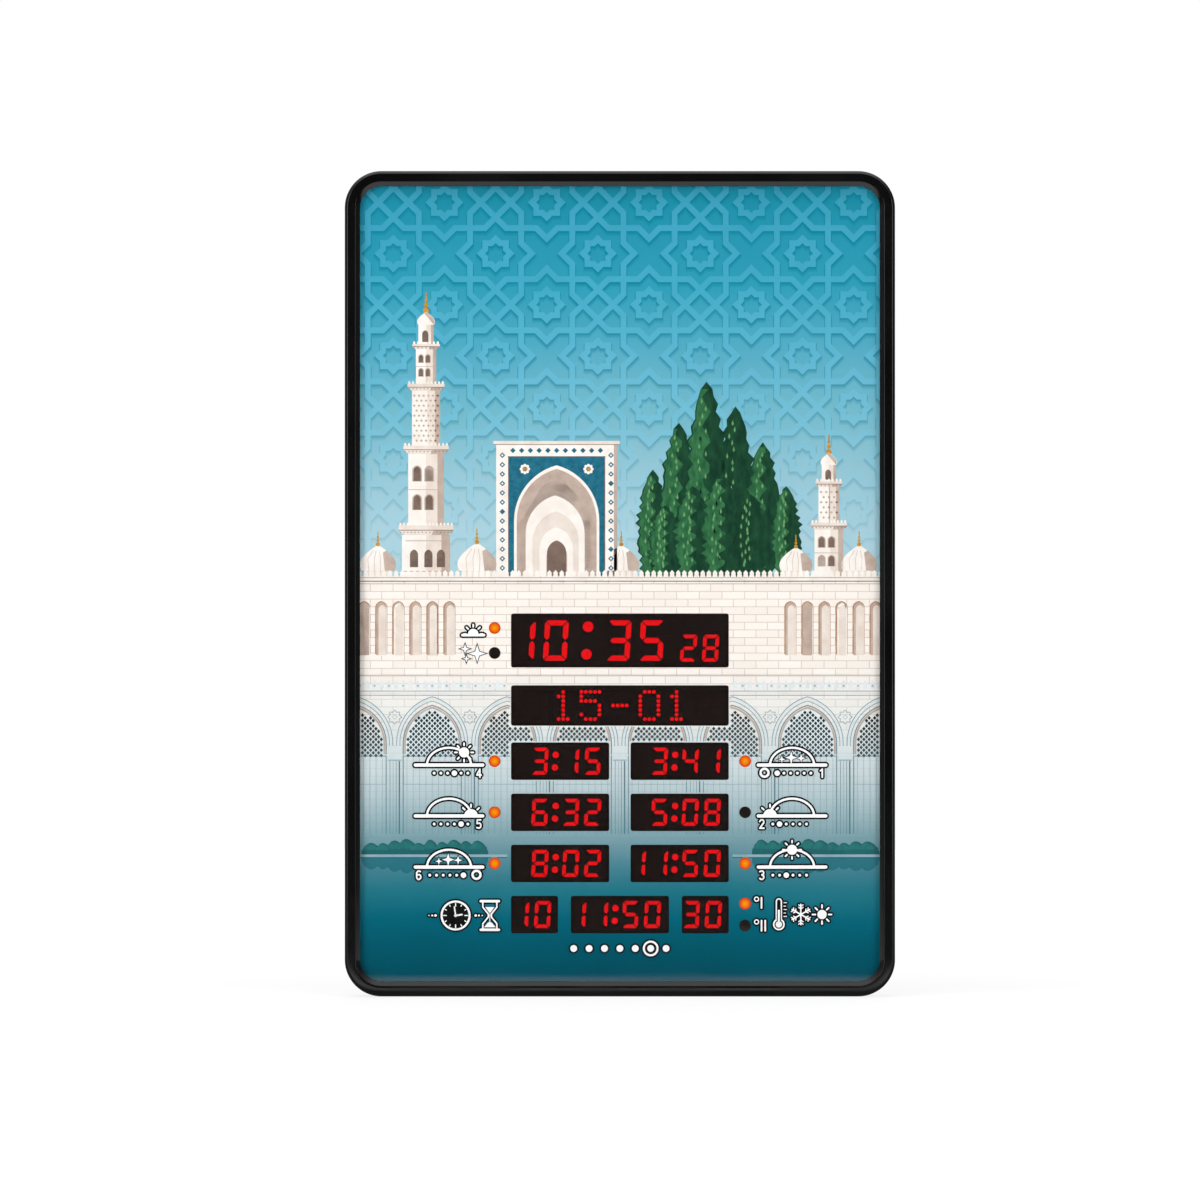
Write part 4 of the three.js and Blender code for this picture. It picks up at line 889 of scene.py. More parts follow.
def buildDigits():
    lit, resting = bmesh.new(), bmesh.new()
    depths = (digits["sunk"], digits["floor"])
    for node, text in readings.items():
        style = digits["large" if node == "time_display" else "small"]
        x, z = readingPlace(node, text)
        numbers = text.replace(":", "")
        for place, number in zip(digitPlaces(style, x, len(numbers)), numbers):
            for i, points in enumerate(segmentOutlines(place, z, style)):
                addPrism(lit if i in litSegments[number] else resting, points, *depths)
        for side in (-1, 1) if ":" in text else ():
            shift = digits["slant"] * side * style["spacing"] / 2
            spot = disc(x + shift, z + side * style["spacing"] / 2, style["dot"], digits["dotSides"])
            addPrism(lit, spot, *depths)
    for name, shape, material in (("lit_segments", lit, segmentRed), ("resting_segments", resting, restingSegment)):
        settle(pieceFrom(name, outward(shape), material), "case", "module_black")


buildDigits()
print("digits built")


# dot-matrix date

matrix = {
    "front": -27.4, "pitch": 3.3, "columns": 48, "rows": 8, "dot": 1.38, "rise": 0.12, "dotSides": 14,
    "text": "15-01", "firstColumn": 9, "topRow": 7, "space": 1,
    # one lens: share of the radius, share of the rise
    "dome": ((1.0, 0.0), (1.0, 0.35), (0.86, 0.8), (0.5, 1.0)),
    "glyphs": {
        "0": ("01110", "10001", "10001", "10001", "10001", "10001", "01110"),
        "1": ("00100", "01100", "00100", "00100", "00100", "00100", "01110"),
        "5": ("11111", "10000", "11110", "00001", "00001", "10001", "01110"),
        "-": ("0000", "0000", "0000", "1111", "0000", "0000", "0000"),
    },
}


def dotSource():
    # one lens: a low dome with a flat back
    shape = bmesh.new()
    rings = [
        vertsAt(shape, disc(0, 0, matrix["dot"] * share, matrix["dotSides"]), -rise * matrix["rise"])
        for share, rise in matrix["dome"]
    ]
    bridge(shape, rings)
    shape.faces.new(rings[0][::-1])
    shape.faces.new(rings[-1])
    return newObject("dotSource", asMesh("dotSource", outward(shape)))


def litDots():
    lit = set()
    column = matrix["firstColumn"]
    for sign in matrix["text"]:
        glyph = matrix["glyphs"][sign]
        space = matrix["space"] if sign == "-" else 0
        column += space
        for row, line in enumerate(glyph):
            lit.update((column + i, matrix["topRow"] - row) for i, bit in enumerate(line) if bit == "1")
        column += len(glyph[0]) + 1 + space
    return lit


def buildDateMatrix():
    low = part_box("date_matrix_1")[0]
    pitch = matrix["pitch"]
    bottom, left = low.z / mm + pitch / 2, -pitch * matrix["columns"] / 2 + pitch / 2
    lit = litDots()
    grid = [(i, j) for i in range(matrix["columns"]) for j in range(matrix["rows"])]
    for name, wanted, material in (("date_lit_dots", True, segmentRed), ("date_resting_dots", False, restingSegment)):
        places = [(left + i * pitch, bottom + j * pitch) for i, j in grid if ((i, j) in lit) == wanted]
        settle(stoodOn(name, places, matrix["front"], dotSource(), material), "case", "module_black")


buildDateMatrix()
print("date matrix built")


# round lamps

lampLens = {
    "front": -29.3, "back": -19.5, "radius": 4.0, "flange": 4.55, "flangeHeight": 1.2, "dome": 0.55, "bend": 0.96,
    "sides": 36, "smooth": 40, "rings": (0.3, 0.5, 0.68, 0.82, 0.93, 1.0),
}


def lensSource(name):
    # a round lens with its distance from the middle kept as an attribute
    shape = bmesh.new()
    layer = shape.verts.layers.float.new("radial")
    tip = shape.verts.new((0, 0, 0))
    radius, flange, depth = lampLens["radius"], lampLens["flange"], lampLens["back"] - lampLens["front"]
    ledge = depth - lampLens["flangeHeight"]
    levels = [
        (radius * share, lampLens["dome"] * (1 - math.sqrt(max(1 - (share * lampLens["bend"]) ** 2, 0))), share)
        for share in lampLens["rings"]
    ]
    rings = []
    for reach, y, share in levels + [(radius, ledge, 1.0), (flange, ledge, 1.0), (flange, depth, 1.0)]:
        rings.append(vertsAt(shape, disc(0, 0, reach, lampLens["sides"]), y))
        for vert in rings[-1]:
            vert[layer] = share
    for i, vert in enumerate(rings[0]):
        shape.faces.new((tip, vert, rings[0][(i + 1) % lampLens["sides"]]))
    bridge(shape, rings)
    shape.faces.new(rings[-1])
    mesh = asMesh(name, outward(shape))
    smoothed(mesh, lampLens["smooth"])
    return newObject(name, mesh)


def makeLampGlow():
    # orange heart running out to a red rim
    graph = Finish("lampGlow")
    radial = graph.node("ShaderNodeAttribute", attribute_name="radial").outputs["Fac"]
    heart = graph.ramp(radial, screenStops((
        (0.0, (250, 166, 4)), (0.3, (246, 146, 0)), (0.62, (240, 116, 2)), (0.86, (232, 78, 10)), (1.0, (206, 44, 8)),
    )))
    return graph.dress({
        "Emission Color": heart, "Emission Strength": 0.92, "Base Color": graph.mix(0.9, heart, (0, 0, 0, 1)),
        "Roughness": 0.25, "Specular IOR Level": 0.3,
    })


for name, nodes, material in (
    ("lit_lamps", litLamps, makeLampGlow()),
    ("resting_lamps", restingLamps, makeRestingLens("restingLamp", 24, 16, 12)),
):
    places = [lampPlaces[node] for node in nodes]
    lamps = stoodOn(name, places, lampLens["front"], lensSource(name + "_source"), material)
    settle(lamps, "case", "lamp_orange", *nodes)
print("lamps built")


# finishes of the solids that keep their own mesh

def makeSmokedFilm():
    graph = Finish("smokedFilm")
    graph.material.surface_render_method = "BLENDED"
    return graph.dress({
        "Base Color": graph.mix(graph.noise(30.0, 2.0), srgb(33, 22, 19), srgb(37, 26, 23)), "Alpha": 0.5,
        "Roughness": 0.35, "Specular IOR Level": 0.15,
    })


cellWrap = {
    # the cell's two ends in x, metres
    "from": 0.118, "to": 0.169, "scuff": (230, 230, 232),
    "bands": (
        (0.0, (176, 178, 182)), (0.05, (52, 96, 124)), (0.66, (52, 96, 124)), (0.68, (196, 150, 60)),
        (0.95, (196, 150, 60)), (1.0, (190, 192, 196)),
    ),
}


def makeCellWrap():
    # printed film round a cell: a plain band and a bright end, no words
    graph = Finish("cellWrap")
    along = graph.ranged(graph.axes(graph.place())[0], cellWrap["from"], cellWrap["to"], 0.0, 1.0)
    band = graph.ramp(along, screenStops(cellWrap["bands"]), "CONSTANT")
    scuff = graph.noise(160.0, 5.0)
    return graph.dress({
        "Base Color": graph.mix(graph.times(scuff, 0.18), band, srgb(*cellWrap["scuff"])), "Metallic": 0.3,
        "Roughness": graph.ranged(scuff, 0.3, 0.7, 0.25, 0.4),
    })


finishes = {
    "smoked_film": makeSmokedFilm(),
    "module_black": solidFinish("moduleBlack", (30, 21, 19), 0.55, grain=1500, bump=0.06, specular=0.3, wear=0.0),
    "board_green": solidFinish("boardGreen", (31, 90, 58), 0.45, grain=700, bump=0.05, wear=0.1),
    "bare_steel": solidFinish("bareSteel", (186, 189, 193), 0.32, metallic=1.0, grain=1800, bump=0.04, wear=0.2),
    "blackened_steel": solidFinish(
        "blackenedSteel", (44, 45, 48), 0.42, metallic=0.8, grain=1400, bump=0.06, wear=0.5,
    ),
    "moulded_black": solidFinish(
        "mouldedBlack", (27, 27, 29), 0.56, grain=1300, bump=0.32, specular=0.4, wear=0.35, spread=0.06,
    ),
    "key_rubber": solidFinish("keyRubber", (44, 44, 47), 0.78, grain=2200, bump=0.2, specular=0.3, wear=0.2),
    "key_paint": solidFinish(
        "keyPaint", (214, 214, 210), 0.5, grain=1600, bump=0.1, specular=0.3, wear=0.0, spread=0.06,
    ),
    "cone_paper": solidFinish("conePaper", (44, 41, 38), 0.9, grain=2600, bump=0.5, specular=0.2, wear=0.0),
    "ferrite": solidFinish("ferrite", (58, 58, 61), 0.6, metallic=0.2, grain=2000, bump=0.2),
    "plug_black": solidFinish("plugBlack", (17, 17, 19), 0.46, grain=1800, bump=0.1, wear=0.2),
    "bead_glaze": solidFinish("beadGlaze", (47, 107, 79), 0.3, bump=0.05, wear=0.0, coat=0.5),
    "lead_sheath": solidFinish("leadSheath", (28, 28, 30), 0.5, grain=1500, bump=0.08, wear=0.0),
    "cell_wrap": makeCellWrap(),
}

# how each solid is called, whole or in part, and its finish
nodeFinish = {
    "_display": "module_black", "date_matrix": "module_black", "_lead": "lead_sheath", "_key": "key_rubber",
    "case_screw": "blackened_steel", "display_filter": "smoked_film", "display_board": "board_green",
    "key_board": "board_green", "battery_door": "moulded_black", "rear_cover": "moulded_black",
    "speaker_basket": "blackened_steel", "speaker_magnet": "ferrite", "speaker_cone": "cone_paper",
    "power_inlet": "plug_black", "thermistor": "bead_glaze", "_contact": "bare_steel", "_cell": "cell_wrap",
}

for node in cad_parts:
    for part, finish in nodeFinish.items():
        if node.startswith(part) or node.endswith(part):
            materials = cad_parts[node].data.materials
            materials.clear()
            materials.append(finishes[finish])
            break
print("solids painted")


# printed scene: a garden court of this part's own design, in thin layers on the sheet

scenery = {
    "wallTop": 5.4, "farY": -29.38, "nearY": -29.40, "detailY": -29.42, "inkY": -29.44,
    # shapes of one layer lie a hair apart, so that none share a face
    "skin": 0.012, "hair": 0.0006, "hairs": 7, "orderLift": 0.003, "sheetHalf": 191, "clipHalf": 191.3,
    "strokeStep": 0.6,
}

inkTones = {
    # colour, shade, scale of the patches, share of haze, streak
    "stoneLight": ((252, 247, 241), (243, 234, 225), 90),
    "stone": ((240, 229, 219), (228, 213, 201), 90),
    "stoneShade": ((203, 184, 171), (184, 163, 150), 110),
    "stoneDeep": ((133, 112, 101), (108, 90, 82), 120),
    "coolStone": ((232, 239, 240), (218, 228, 231), 90),
    "coolShade": ((172, 190, 196), (154, 174, 182), 90),
    "coolLine": ((132, 152, 160), (112, 134, 144), 120, 0.9),
    "coolDeep": ((84, 110, 118), (66, 92, 102), 110, 0.8),
    "hedgeDark": ((0, 66, 66), (0, 84, 82), 260, 0.42, 0.4),
    "hedgeMid": ((10, 96, 88), (28, 120, 104), 300, 0.36, 0.4),
    "poolShade": ((0, 72, 82), (0, 88, 96), 200, 0.72, -2.0),
    "kerb": ((196, 216, 222), (176, 200, 208), 90, 0.55),
    "grilleDark": ((26, 44, 50), (40, 60, 66), 240, 0.86),
    "leafDark": ((20, 58, 42), (34, 80, 54), 260, 1.0, 0.6),
    "leafMid": ((38, 92, 60), (62, 124, 78), 300, 1.0, 0.6),
    "leafLight": ((88, 146, 92), (120, 170, 112), 340, 1.0, 0.6),
    "tile": ((44, 120, 142), (30, 98, 124), 320),
    "gilt": ((216, 164, 64), (168, 112, 34), 300),
    "timber": ((196, 150, 110), (160, 112, 78), 200, 1.0, 0.5),
    "labelWhite": ((255, 255, 255), (252, 253, 253), 60, 0.0),
    "labelBlack": ((16, 16, 18), (24, 22, 22), 60, 0.0),
}
inks = {name: makeInk(name, *values) for name, values in inkTones.items()}


def insideWindow(x, z, margin=0.0):
    for wx, wz, width, height in windows:
        if abs(x - wx) < width / 2 + margin and abs(z - wz) < height / 2 + margin:
            return True
    reach = layout["lampRadius"] + layout["lampGap"] + margin
    return any(math.hypot(x - lx, z - lz) < reach for lx, lz in lampPlaces.values())


class Layer:
    # collects flat shapes by ink and turns them into pieces at the end
    def __init__(self, name, frontY):
        self.name = name
        self.frontY = frontY
        self.shapes = {}
        self.count = 0

    def add(self, ink, points, order=0):
        half = scenery["clipHalf"]
        clipped = [(max(min(x, half), -half), z) for x, z in points]
        if abs(signedArea(clipped)) < 1e-4:
            return
        shape = self.shapes.setdefault(ink, bmesh.new())
        lift = scenery["hair"] * (self.count % scenery["hairs"]) + scenery["orderLift"] * order
        self.count += 1
        addPrism(shape, clipped, self.frontY - scenery["skin"] - lift, self.frontY)

    def stroke(self, ink, points, width, order=0):
        # a drawn line that stops at the windows and lamps
        samples = []
        for (x0, z0), (x1, z1) in zip(points, points[1:]):
            pieces = max(int(math.hypot(x1 - x0, z1 - z0) / scenery["strokeStep"]), 1)
            samples += [(x0 + (x1 - x0) * i / pieces, z0 + (z1 - z0) * i / pieces) for i in range(pieces)]
        runs = [[]]
        for x, z in samples + [points[-1]]:
            if not insideWindow(x, z, width / 2) and abs(x) <= scenery["sheetHalf"]:
                runs[-1].append((x, z))
            elif runs[-1]:
                runs.append([])
        for run in runs:
            if len(run) > 1:
                left, right = stripeSides(run, width)
                kept = [0] + [i for i in range(1, len(run) - 1) if bends(run, i)] + [len(run) - 1]
                self.add(ink, [left[i] for i in kept] + [right[i] for i in reversed(kept)], order)

    def across(self, ink, z, width, order=0):
        self.stroke(ink, [(-scenery["sheetHalf"], z), (scenery["sheetHalf"], z)], width, order)

    def settle(self):
        for ink, shape in self.shapes.items():
            toSheet(pieceFrom(self.name + "_" + ink, outward(shape), inks[ink]))


def bends(run, i):
    (ax, az), (bx, bz), (cx, cz) = run[i - 1], run[i], run[i + 1]
    return abs((bx - ax) * (cz - bz) - (bz - az) * (cx - bx)) > 1e-4


def closedLine(points):
    return points + points[:1]


archLean = 1.35


def pointedArch(x, foot, spring, half, steps=9):
    # outline of a pointed opening, from its left foot over the point to its right foot
    radius = half * archLean
    reach = math.atan2(math.sqrt(radius ** 2 - (radius - half) ** 2), radius - half)
    left = [polar(x - half + radius, spring, radius, math.pi - reach * i / steps) for i in range(steps + 1)]
    right = [polar(x + half - radius, spring, radius, reach * (1 - i / steps)) for i in range(1, steps + 1)]
    return [(x - half, foot), *left, *right, (x + half, foot)]


def insideArch(dx, dz, half):
    radius = half * archLean
    return abs(dx) <= half and (dz <= 0 or math.hypot(abs(dx) + radius - half, dz) < radius)


def onionDome(x, z, half, steps=14):
    # a small swelling dome that ends in a point
    right = []
    for i in range(steps + 1):
        t = i / steps
        swell = half * (math.cos(t * math.pi / 2) ** 0.72) * (1 + 0.22 * math.sin(t * math.pi))
        right.append((swell if t < 1 else 0, t * half * 1.55))
    return placed(right + flipped(right[:-1]), x, z)


# a rod with balls on it, in shares of its size: height, width, then each ball's rise and radius
finialShape = (4.4, 0.28, ((0.5, 0.62), (1.7, 0.46), (2.7, 0.34)))


def finial(layer, x, z, size):
    height, width, balls = finialShape
    layer.add("gilt", box(x, z + size * height / 2, size * width, size * height))
    for rise, radius in balls:
        layer.add("gilt", disc(x, z + size * rise, size * radius, 14), 1)


towers = (
    # middle, then each level from the foot: height, half width, kind
    (-141, (
        (30, 17.5, "base"), (7, 20, "ledge"), (52, 13, "windowed"), (6, 16.5, "ledge"), (40, 10.2, "banded"),
        (5, 13.5, "ledge"), (25, 7.4, "windowed"), (4, 10, "ledge"), (14, 5.6, "lantern"),
    )),
    (152, (
        (34, 10.5, "windowed"), (5, 13.2, "ledge"), (26, 7.6, "banded"), (4, 9.8, "ledge"), (12, 5.2, "lantern"),
    )),
)


ledge = {
    # a tooth from the middle of its foot, its width in the row, the fewest teeth, the dot under it
    "tooth": ((-0.75, 0), (0.75, 0), (0.75, 1.3), (0, 2.2), (-0.75, 1.3)), "toothRoom": 2.6, "fewest": 3,
    "dot": 0.42, "dotRise": 0.28, "foot": 0.78, "line": 0.5,
}


def drawLedge(layer, fine, x, z, height, half):
    top, middle, foot = z + height, z + height * 0.5, half * ledge["foot"]
    side = [(foot, z), (half, middle), (half, top)]
    slab = placed([(-foot, z), *side, *flipped(side[1:])], x)
    layer.add("stone", slab, 1)
    layer.add("stoneShade", placed([(half * 0.2, z), *side[:2], (half * 0.3, middle)], x), 2)
    layer.add("stoneDeep", box(x, middle, half * 2, ledge["line"]), 3)
    teeth = max(int(half * 2 / ledge["toothRoom"]), ledge["fewest"])
    for i in range(teeth):
        tx = x - half + (i + 0.5) * half * 2 / teeth
        fine.add("stoneLight", placed(ledge["tooth"], tx, top))
        fine.add("stoneDeep", disc(tx, z + height * ledge["dotRise"], ledge["dot"], 8))


level = {
    # shares of the level's height and half width, in millimetres where a line or a step is meant
    # base: lines as rise and width, doors as places with sill, spring and half width
    "baseLines": ((0.86, 1.7), (0.12, 1.9)), "line": 0.6, "doors": (-0.5, 0.1, 0.62), "door": (0.22, 0.52, 0.17),
    # windows: rise of the spring over the sill and half width; their reveal: spread, lift and drop
    "sills": (0.22, 0.62), "windows": (-0.5, 0.18), "window": (0.14, 0.2), "reveal": (0.35, 0.7, -0.3),
    "middleLine": (0.5, 1.96, 0.45),
    # bands: steps up and across, size of a spot, how far they reach and where the shade starts
    "bandSteps": (3.4, 3.2), "spot": 1.0, "lastSpot": 0.97, "shadeFrom": 0.6,
    # lantern: its opening, its dome, the shaded part of it and what stands on top
    "opening": (-0.1, 0.1, 0.5, 0.4), "dome": 1.05, "domeShade": (1.02, 0.25, 1.4, 0.98), "finial": (1.5, 0.62),
}


def drawBase(layer, fine, x, z, height, half):
    sill, spring, width = level["door"]
    for rise, share in level["baseLines"]:
        fine.add("stoneShade", box(x, z + height * rise, half * share, level["line"]))
    for side in level["doors"]:
        fine.add("stoneDeep", pointedArch(x + half * side, z + height * sill, z + height * spring, half * width, 5))


def drawWindowed(layer, fine, x, z, height, half):
    (rise, share), (spread, lift, drop) = level["window"], level["reveal"]
    for sill in level["sills"]:
        for side in level["windows"]:
            middle, foot = x + half * side, z + height * sill
            outline = pointedArch(middle, foot, z + height * (sill + rise), half * share, 5)
            reveal = [(px + (px - middle) * spread, pz + (lift if pz > foot else drop)) for px, pz in outline]
            fine.add("stoneShade", reveal)
            fine.add("stoneDeep", outline, 1)
    rise, share, line = level["middleLine"]
    fine.add("stoneShade", box(x, z + height * rise, half * share, line))


def drawBanded(layer, fine, x, z, height, half):
    stepUp, stepAcross = level["bandSteps"]
    rows, columns = max(int(height / stepUp), 2), max(int(half * 2 / stepAcross), 3)
    for row in range(1, rows):
        for column in range(columns):
            cx = x - half + (column + 0.5 + 0.5 * (row % 2)) * half * 2 / columns
            if cx <= x + half * level["lastSpot"]:
                ink = "stoneShade" if cx < x + half * level["shadeFrom"] else "stoneDeep"
                fine.add(ink, disc(cx, z + row * height / rows, level["spot"], 4))


def drawLantern(layer, fine, x, z, height, half):
    top = z + height
    shift, sill, spring, share = level["opening"]
    fine.add("stoneDeep", pointedArch(x + half * shift, z + height * sill, z + height * spring, half * share, 6))
    layer.add("stoneLight", onionDome(x, top, half * level["dome"]), 2)
    size, side, rise, narrow = level["domeShade"]
    shaded = [p for p in onionDome(x, top, half * size) if p[0] >= x + half * side or p[1] > top + half * rise]
    layer.add("stoneShade", [(x + (px - x) * narrow, pz) for px, pz in shaded], 3)
    rise, size = level["finial"]
    finial(layer, x, top + half * rise, half * size)


levelKinds = {
    "ledge": drawLedge, "base": drawBase, "windowed": drawWindowed, "banded": drawBanded, "lantern": drawLantern,
}


# a level's face, lit from the left: ink, middle and width as shares of the half width, order
towerFace = (("stoneLight", -0.45, 1.1, 0), ("stone", 0.35, 0.7, 0), ("stoneShade", 0.82, 0.36, 1))


def drawTower(layer, fine, x, levels):
    z = scenery["wallTop"]
    for height, half, kind in levels:
        for ink, shift, share, order in towerFace if kind != "ledge" else ():
            layer.add(ink, box(x + half * shift, z + height / 2, half * share, height), order)
        levelKinds[kind](layer, fine, x, z, height, half)
        z += height


trees = {
    # middle, height, half width; the first six stand behind the rest
    "places": (
        (24, 78, 11), (43, 112, 13.5), (63, 142, 15), (84, 124, 14), (104, 98, 12.5), (121, 66, 10.5), (33, 52, 12),
        (53, 66, 14), (74, 74, 15), (95, 60, 14),
    ),
    "behind": 6, "steps": 26, "rootDrop": 0.4, "swell": 0.62, "leaf": ((0, 0), (0.9, 1.6), (0.1, 4.4), (-0.8, 1.8)),
    # ragged edge: size, turn for each step, turn for each tree; then where each side starts
    "ragged": ((0.16, 2.9, 1.7), (0.08, 7.3, 1)), "starts": (0.4, 2.1), "leafSway": 4.1, "middleSway": (0.22, 1.7),
}


def cypress(layer, x, height, half, index):
    # a flame-shaped tree with a ragged edge, lit from the left
    foot = scenery["wallTop"] - trees["rootDrop"]
    steps = trees["steps"]

    def halfAt(t):
        return math.sin(math.pi * min(t * 0.86 + 0.14, 1)) ** trees["swell"]

    def edge(side, start):
        (large, largeTurn, treeTurn), (small, smallTurn, smallTree) = trees["ragged"]
        points = []
        for i in range(steps + 1):
            ragged = 1 + large * math.sin(i * largeTurn + index * treeTurn + start)
            ragged += small * math.sin(i * smallTurn + index * smallTree)
            points.append((x + side * (half * halfAt(i / steps)) * ragged, foot + height * (i / steps)))
        return points

    right, left = [edge(side, start) for side, start in zip((1, -1), trees["starts"])]
    layer.add("leafDark", right + left[::-1], 0)
    sway, turn = trees["middleSway"]
    middle = [(x + half * sway * math.sin(i * turn + index), foot + height * i / steps) for i in range(steps)]
    layer.add("leafMid", middle + [(px + (x - px) * 0.12, pz) for px, pz in reversed(left[:-1])], 1)
    for i in range(3, steps - 2):
        width = half * 0.8 * halfAt(i / steps)
        cx = x - width * (0.35 + 0.3 * math.sin(i * trees["leafSway"] + index))
        cz = foot + height * (i / steps)
        layer.add("leafLight", placed(trees["leaf"], cx, cz), 2)


portal = {
    "x": -46, "width": 88, "height": 96, "rim": 9, "niche": 29, "springShare": 0.42, "nicheRim": 2.0,
    # arches one inside the other: their inks, first shift and width, then the step of shift, drop and width
    "receding": ("stone", "stoneLight", "stone", "stoneLight", "stoneShade"), "first": (-1.5, 4, 0.9),
    "step": (0.4, 5.5, 0.16), "doorway": (17, 7), "edgeShade": 2.4, "cornice": (4, 2.4, 0.5), "line": 0.6,
    # tiles: count at a side and over the top, first rise, room left, radii of tile, eye and top tile
    "sideTiles": 13, "topTiles": 11, "tileRise": 6, "tileRoom": 14, "tileRadii": (2.1, 0.9, 2.0),
    # flowers in the corners: place as a share and as a drop, petals, their reach, size, and the heart
    "flower": (0.66, 9, 8, 2.7, 1.15, 1.4),
}


def drawPortal(layer, fine):
    x, width, height, rim, niche = (portal[key] for key in ("x", "width", "height", "rim", "niche"))
    z, line = scenery["wallTop"], portal["line"]
    middle, top, inner = z + height / 2, z + height, width - 2 * rim
    spring = z + height * portal["springShare"]
    layer.add("stoneLight", box(x, middle, width, height))
    layer.add("stoneShade", box(x + (width - portal["edgeShade"]) / 2, middle, portal["edgeShade"], height), 1)
    layer.add("stoneDeep", box(x, top - rim, inner + 2 * line, line), 1)
    layer.add("tile", box(x, middle - rim / 2, inner, height - rim), 1)
    layer.add("stoneLight", pointedArch(x, z, spring, niche + portal["nicheRim"], 12), 2)
    layer.add("stoneShade", pointedArch(x, z, spring, niche, 12), 3)
    (shift, drop, share), (shiftStep, dropStep, loss) = portal["first"], portal["step"]
    for i, ink in enumerate(portal["receding"]):
        foot = (x + shift + i * shiftStep, z, spring - drop - i * dropStep, niche * (share - i * loss))
        layer.add(ink, pointedArch(*foot, 10), 4 + i)
    rise, half = portal["doorway"]
    layer.add("stoneDeep", pointedArch(x, z, z + rise, half, 8), 10)
    overhang, thick, shade = portal["cornice"]
    layer.add("stone", box(x, top + thick / 2, width + overhang, thick), 2)
    layer.add("stoneDeep", box(x, top - 0.2, width + overhang, shade), 3)
    tile, eye, topTile = portal["tileRadii"]
    share, drop, petals, reach, petal, heart = portal["flower"]
    pitch = (height - portal["tileRoom"]) / (portal["sideTiles"] - 1)
    for side in (-1, 1):
        for row in range(portal["sideTiles"]):
            place = (x + side * (width - rim) / 2, z + portal["tileRise"] + row * pitch)
            fine.add("tile", disc(*place, tile, 4))
            fine.add("stoneLight", disc(*place, eye, 4), 1)
        fine.add("stoneDeep", box(x + side * inner / 2, middle - rim / 2, line, height - rim), 1)
        flower = (x + side * inner / 2 * share, top - rim - drop)
        for i in range(petals):
            fine.add("stoneLight", disc(*polar(*flower, reach, i * math.tau / petals), petal, 10))
        fine.add("gilt", disc(*flower, heart, 10), 1)
    for column in range(portal["topTiles"]):
        cx = x - inner / 2 + (column + 0.5) * inner / portal["topTiles"]
        fine.add("tile", disc(cx, top - rim / 2, topTile, 4))


domes = {
    "places": ((-104, 13), (128, 11), (174, 12), (-176, 12), (1, 12)), "rise": 4, "foot": (1.7, 5), "shadeFrom": 0.5,
    # ribs: where each stands, and one rib's reach and rise, as shares of the half width
    "ribs": (-0.55, -0.2, 0.15), "rib": ((1, 0), (1.12, 0.7), (0.5, 1.25)), "ribWidth": 0.3, "finial": (1.5, 0.2),
}


def drawDome(layer, fine, x, half):
    z = scenery["wallTop"] + domes["rise"]
    share, height = domes["foot"]
    layer.add("stone", box(x, z - domes["rise"] / 2, half * share, height))
    layer.add("stoneLight", onionDome(x, z, half), 1)
    shaded = [p for p in onionDome(x, z, half) if p[0] > x + half * domes["shadeFrom"]]
    layer.add("stoneShade", [(x + half * 0.42, z), *shaded, (x + half * 0.3, z + half * 1.1)], 2)
    for share in domes["ribs"]:
        rib = [(x + half * share * reach, z + half * rise) for reach, rise in domes["rib"]]
        fine.stroke("stoneShade", rib, domes["ribWidth"])
    rise, size = domes["finial"]
    finial(layer, x, z + half * rise, half * size)


def drawSkyline():
    far = Layer("print_far", scenery["farY"])
    near = Layer("print_near", scenery["nearY"])
    fine = Layer("print_fine", scenery["detailY"])
    for index, (x, height, half) in enumerate(trees["places"]):
        cypress(far if index < trees["behind"] else near, x, height, half, index)
    for x, half in domes["places"]:
        drawDome(near, fine, x, half)
    drawPortal(near, fine)
    for x, levels in towers:
        drawTower(near, fine, x, levels)
    for layer in (far, near, fine):
        layer.settle()


drawSkyline()
print("skyline drawn")


wall = {
    "merlon": ((0.5, 0), (0.36, 0.42), (0.44, 0.6), (0.2, 0.82)),
    "merlons": {"count": 86, "from": -189.5, "pitch": 4.46, "width": 4.0, "height": 5.2, "drop": 0.6},
    "frieze": {"count": 73, "from": -189, "pitch": 5.25, "z": -76.2, "width": 3.6, "height": 6.0, "dot": 0.8},
    # lines along the coping: drop, width, ink, order
    "coping": (
        (1.0, 0.5, "stoneShade", 0), (2.2, 1.6, "stoneLight", 1), (3.6, 0.6, "stoneDeep", 2),
        (5.6, 0.35, "stoneShade", 0),
    ),
    # lines across the sheet: height, width, ink
    "lines": (
        (-66.5, 0.5, "stoneShade"), (-78.0, 0.45, "coolShade"), (-80.0, 0.9, "coolStone"), (-81.2, 0.4, "coolLine"),
    ),
    "niches": {
        "each": 15, "pitch": 12.4, "from": 118, "foot": -52, "spring": -18, "half": 3.6, "inner": 2.7, "shift": 0.7,
        "surround": (0.22, 0.7), "light": (0.5, -0.5),
    },
}


def merlonSource(name, width, height):
    right = placed(wall["merlon"], 0, 0, width, height)
    left = flipped(right)
    return prismSource(name, [left[-1], *right, (0, height), *left[:-1]], scenery["skin"])


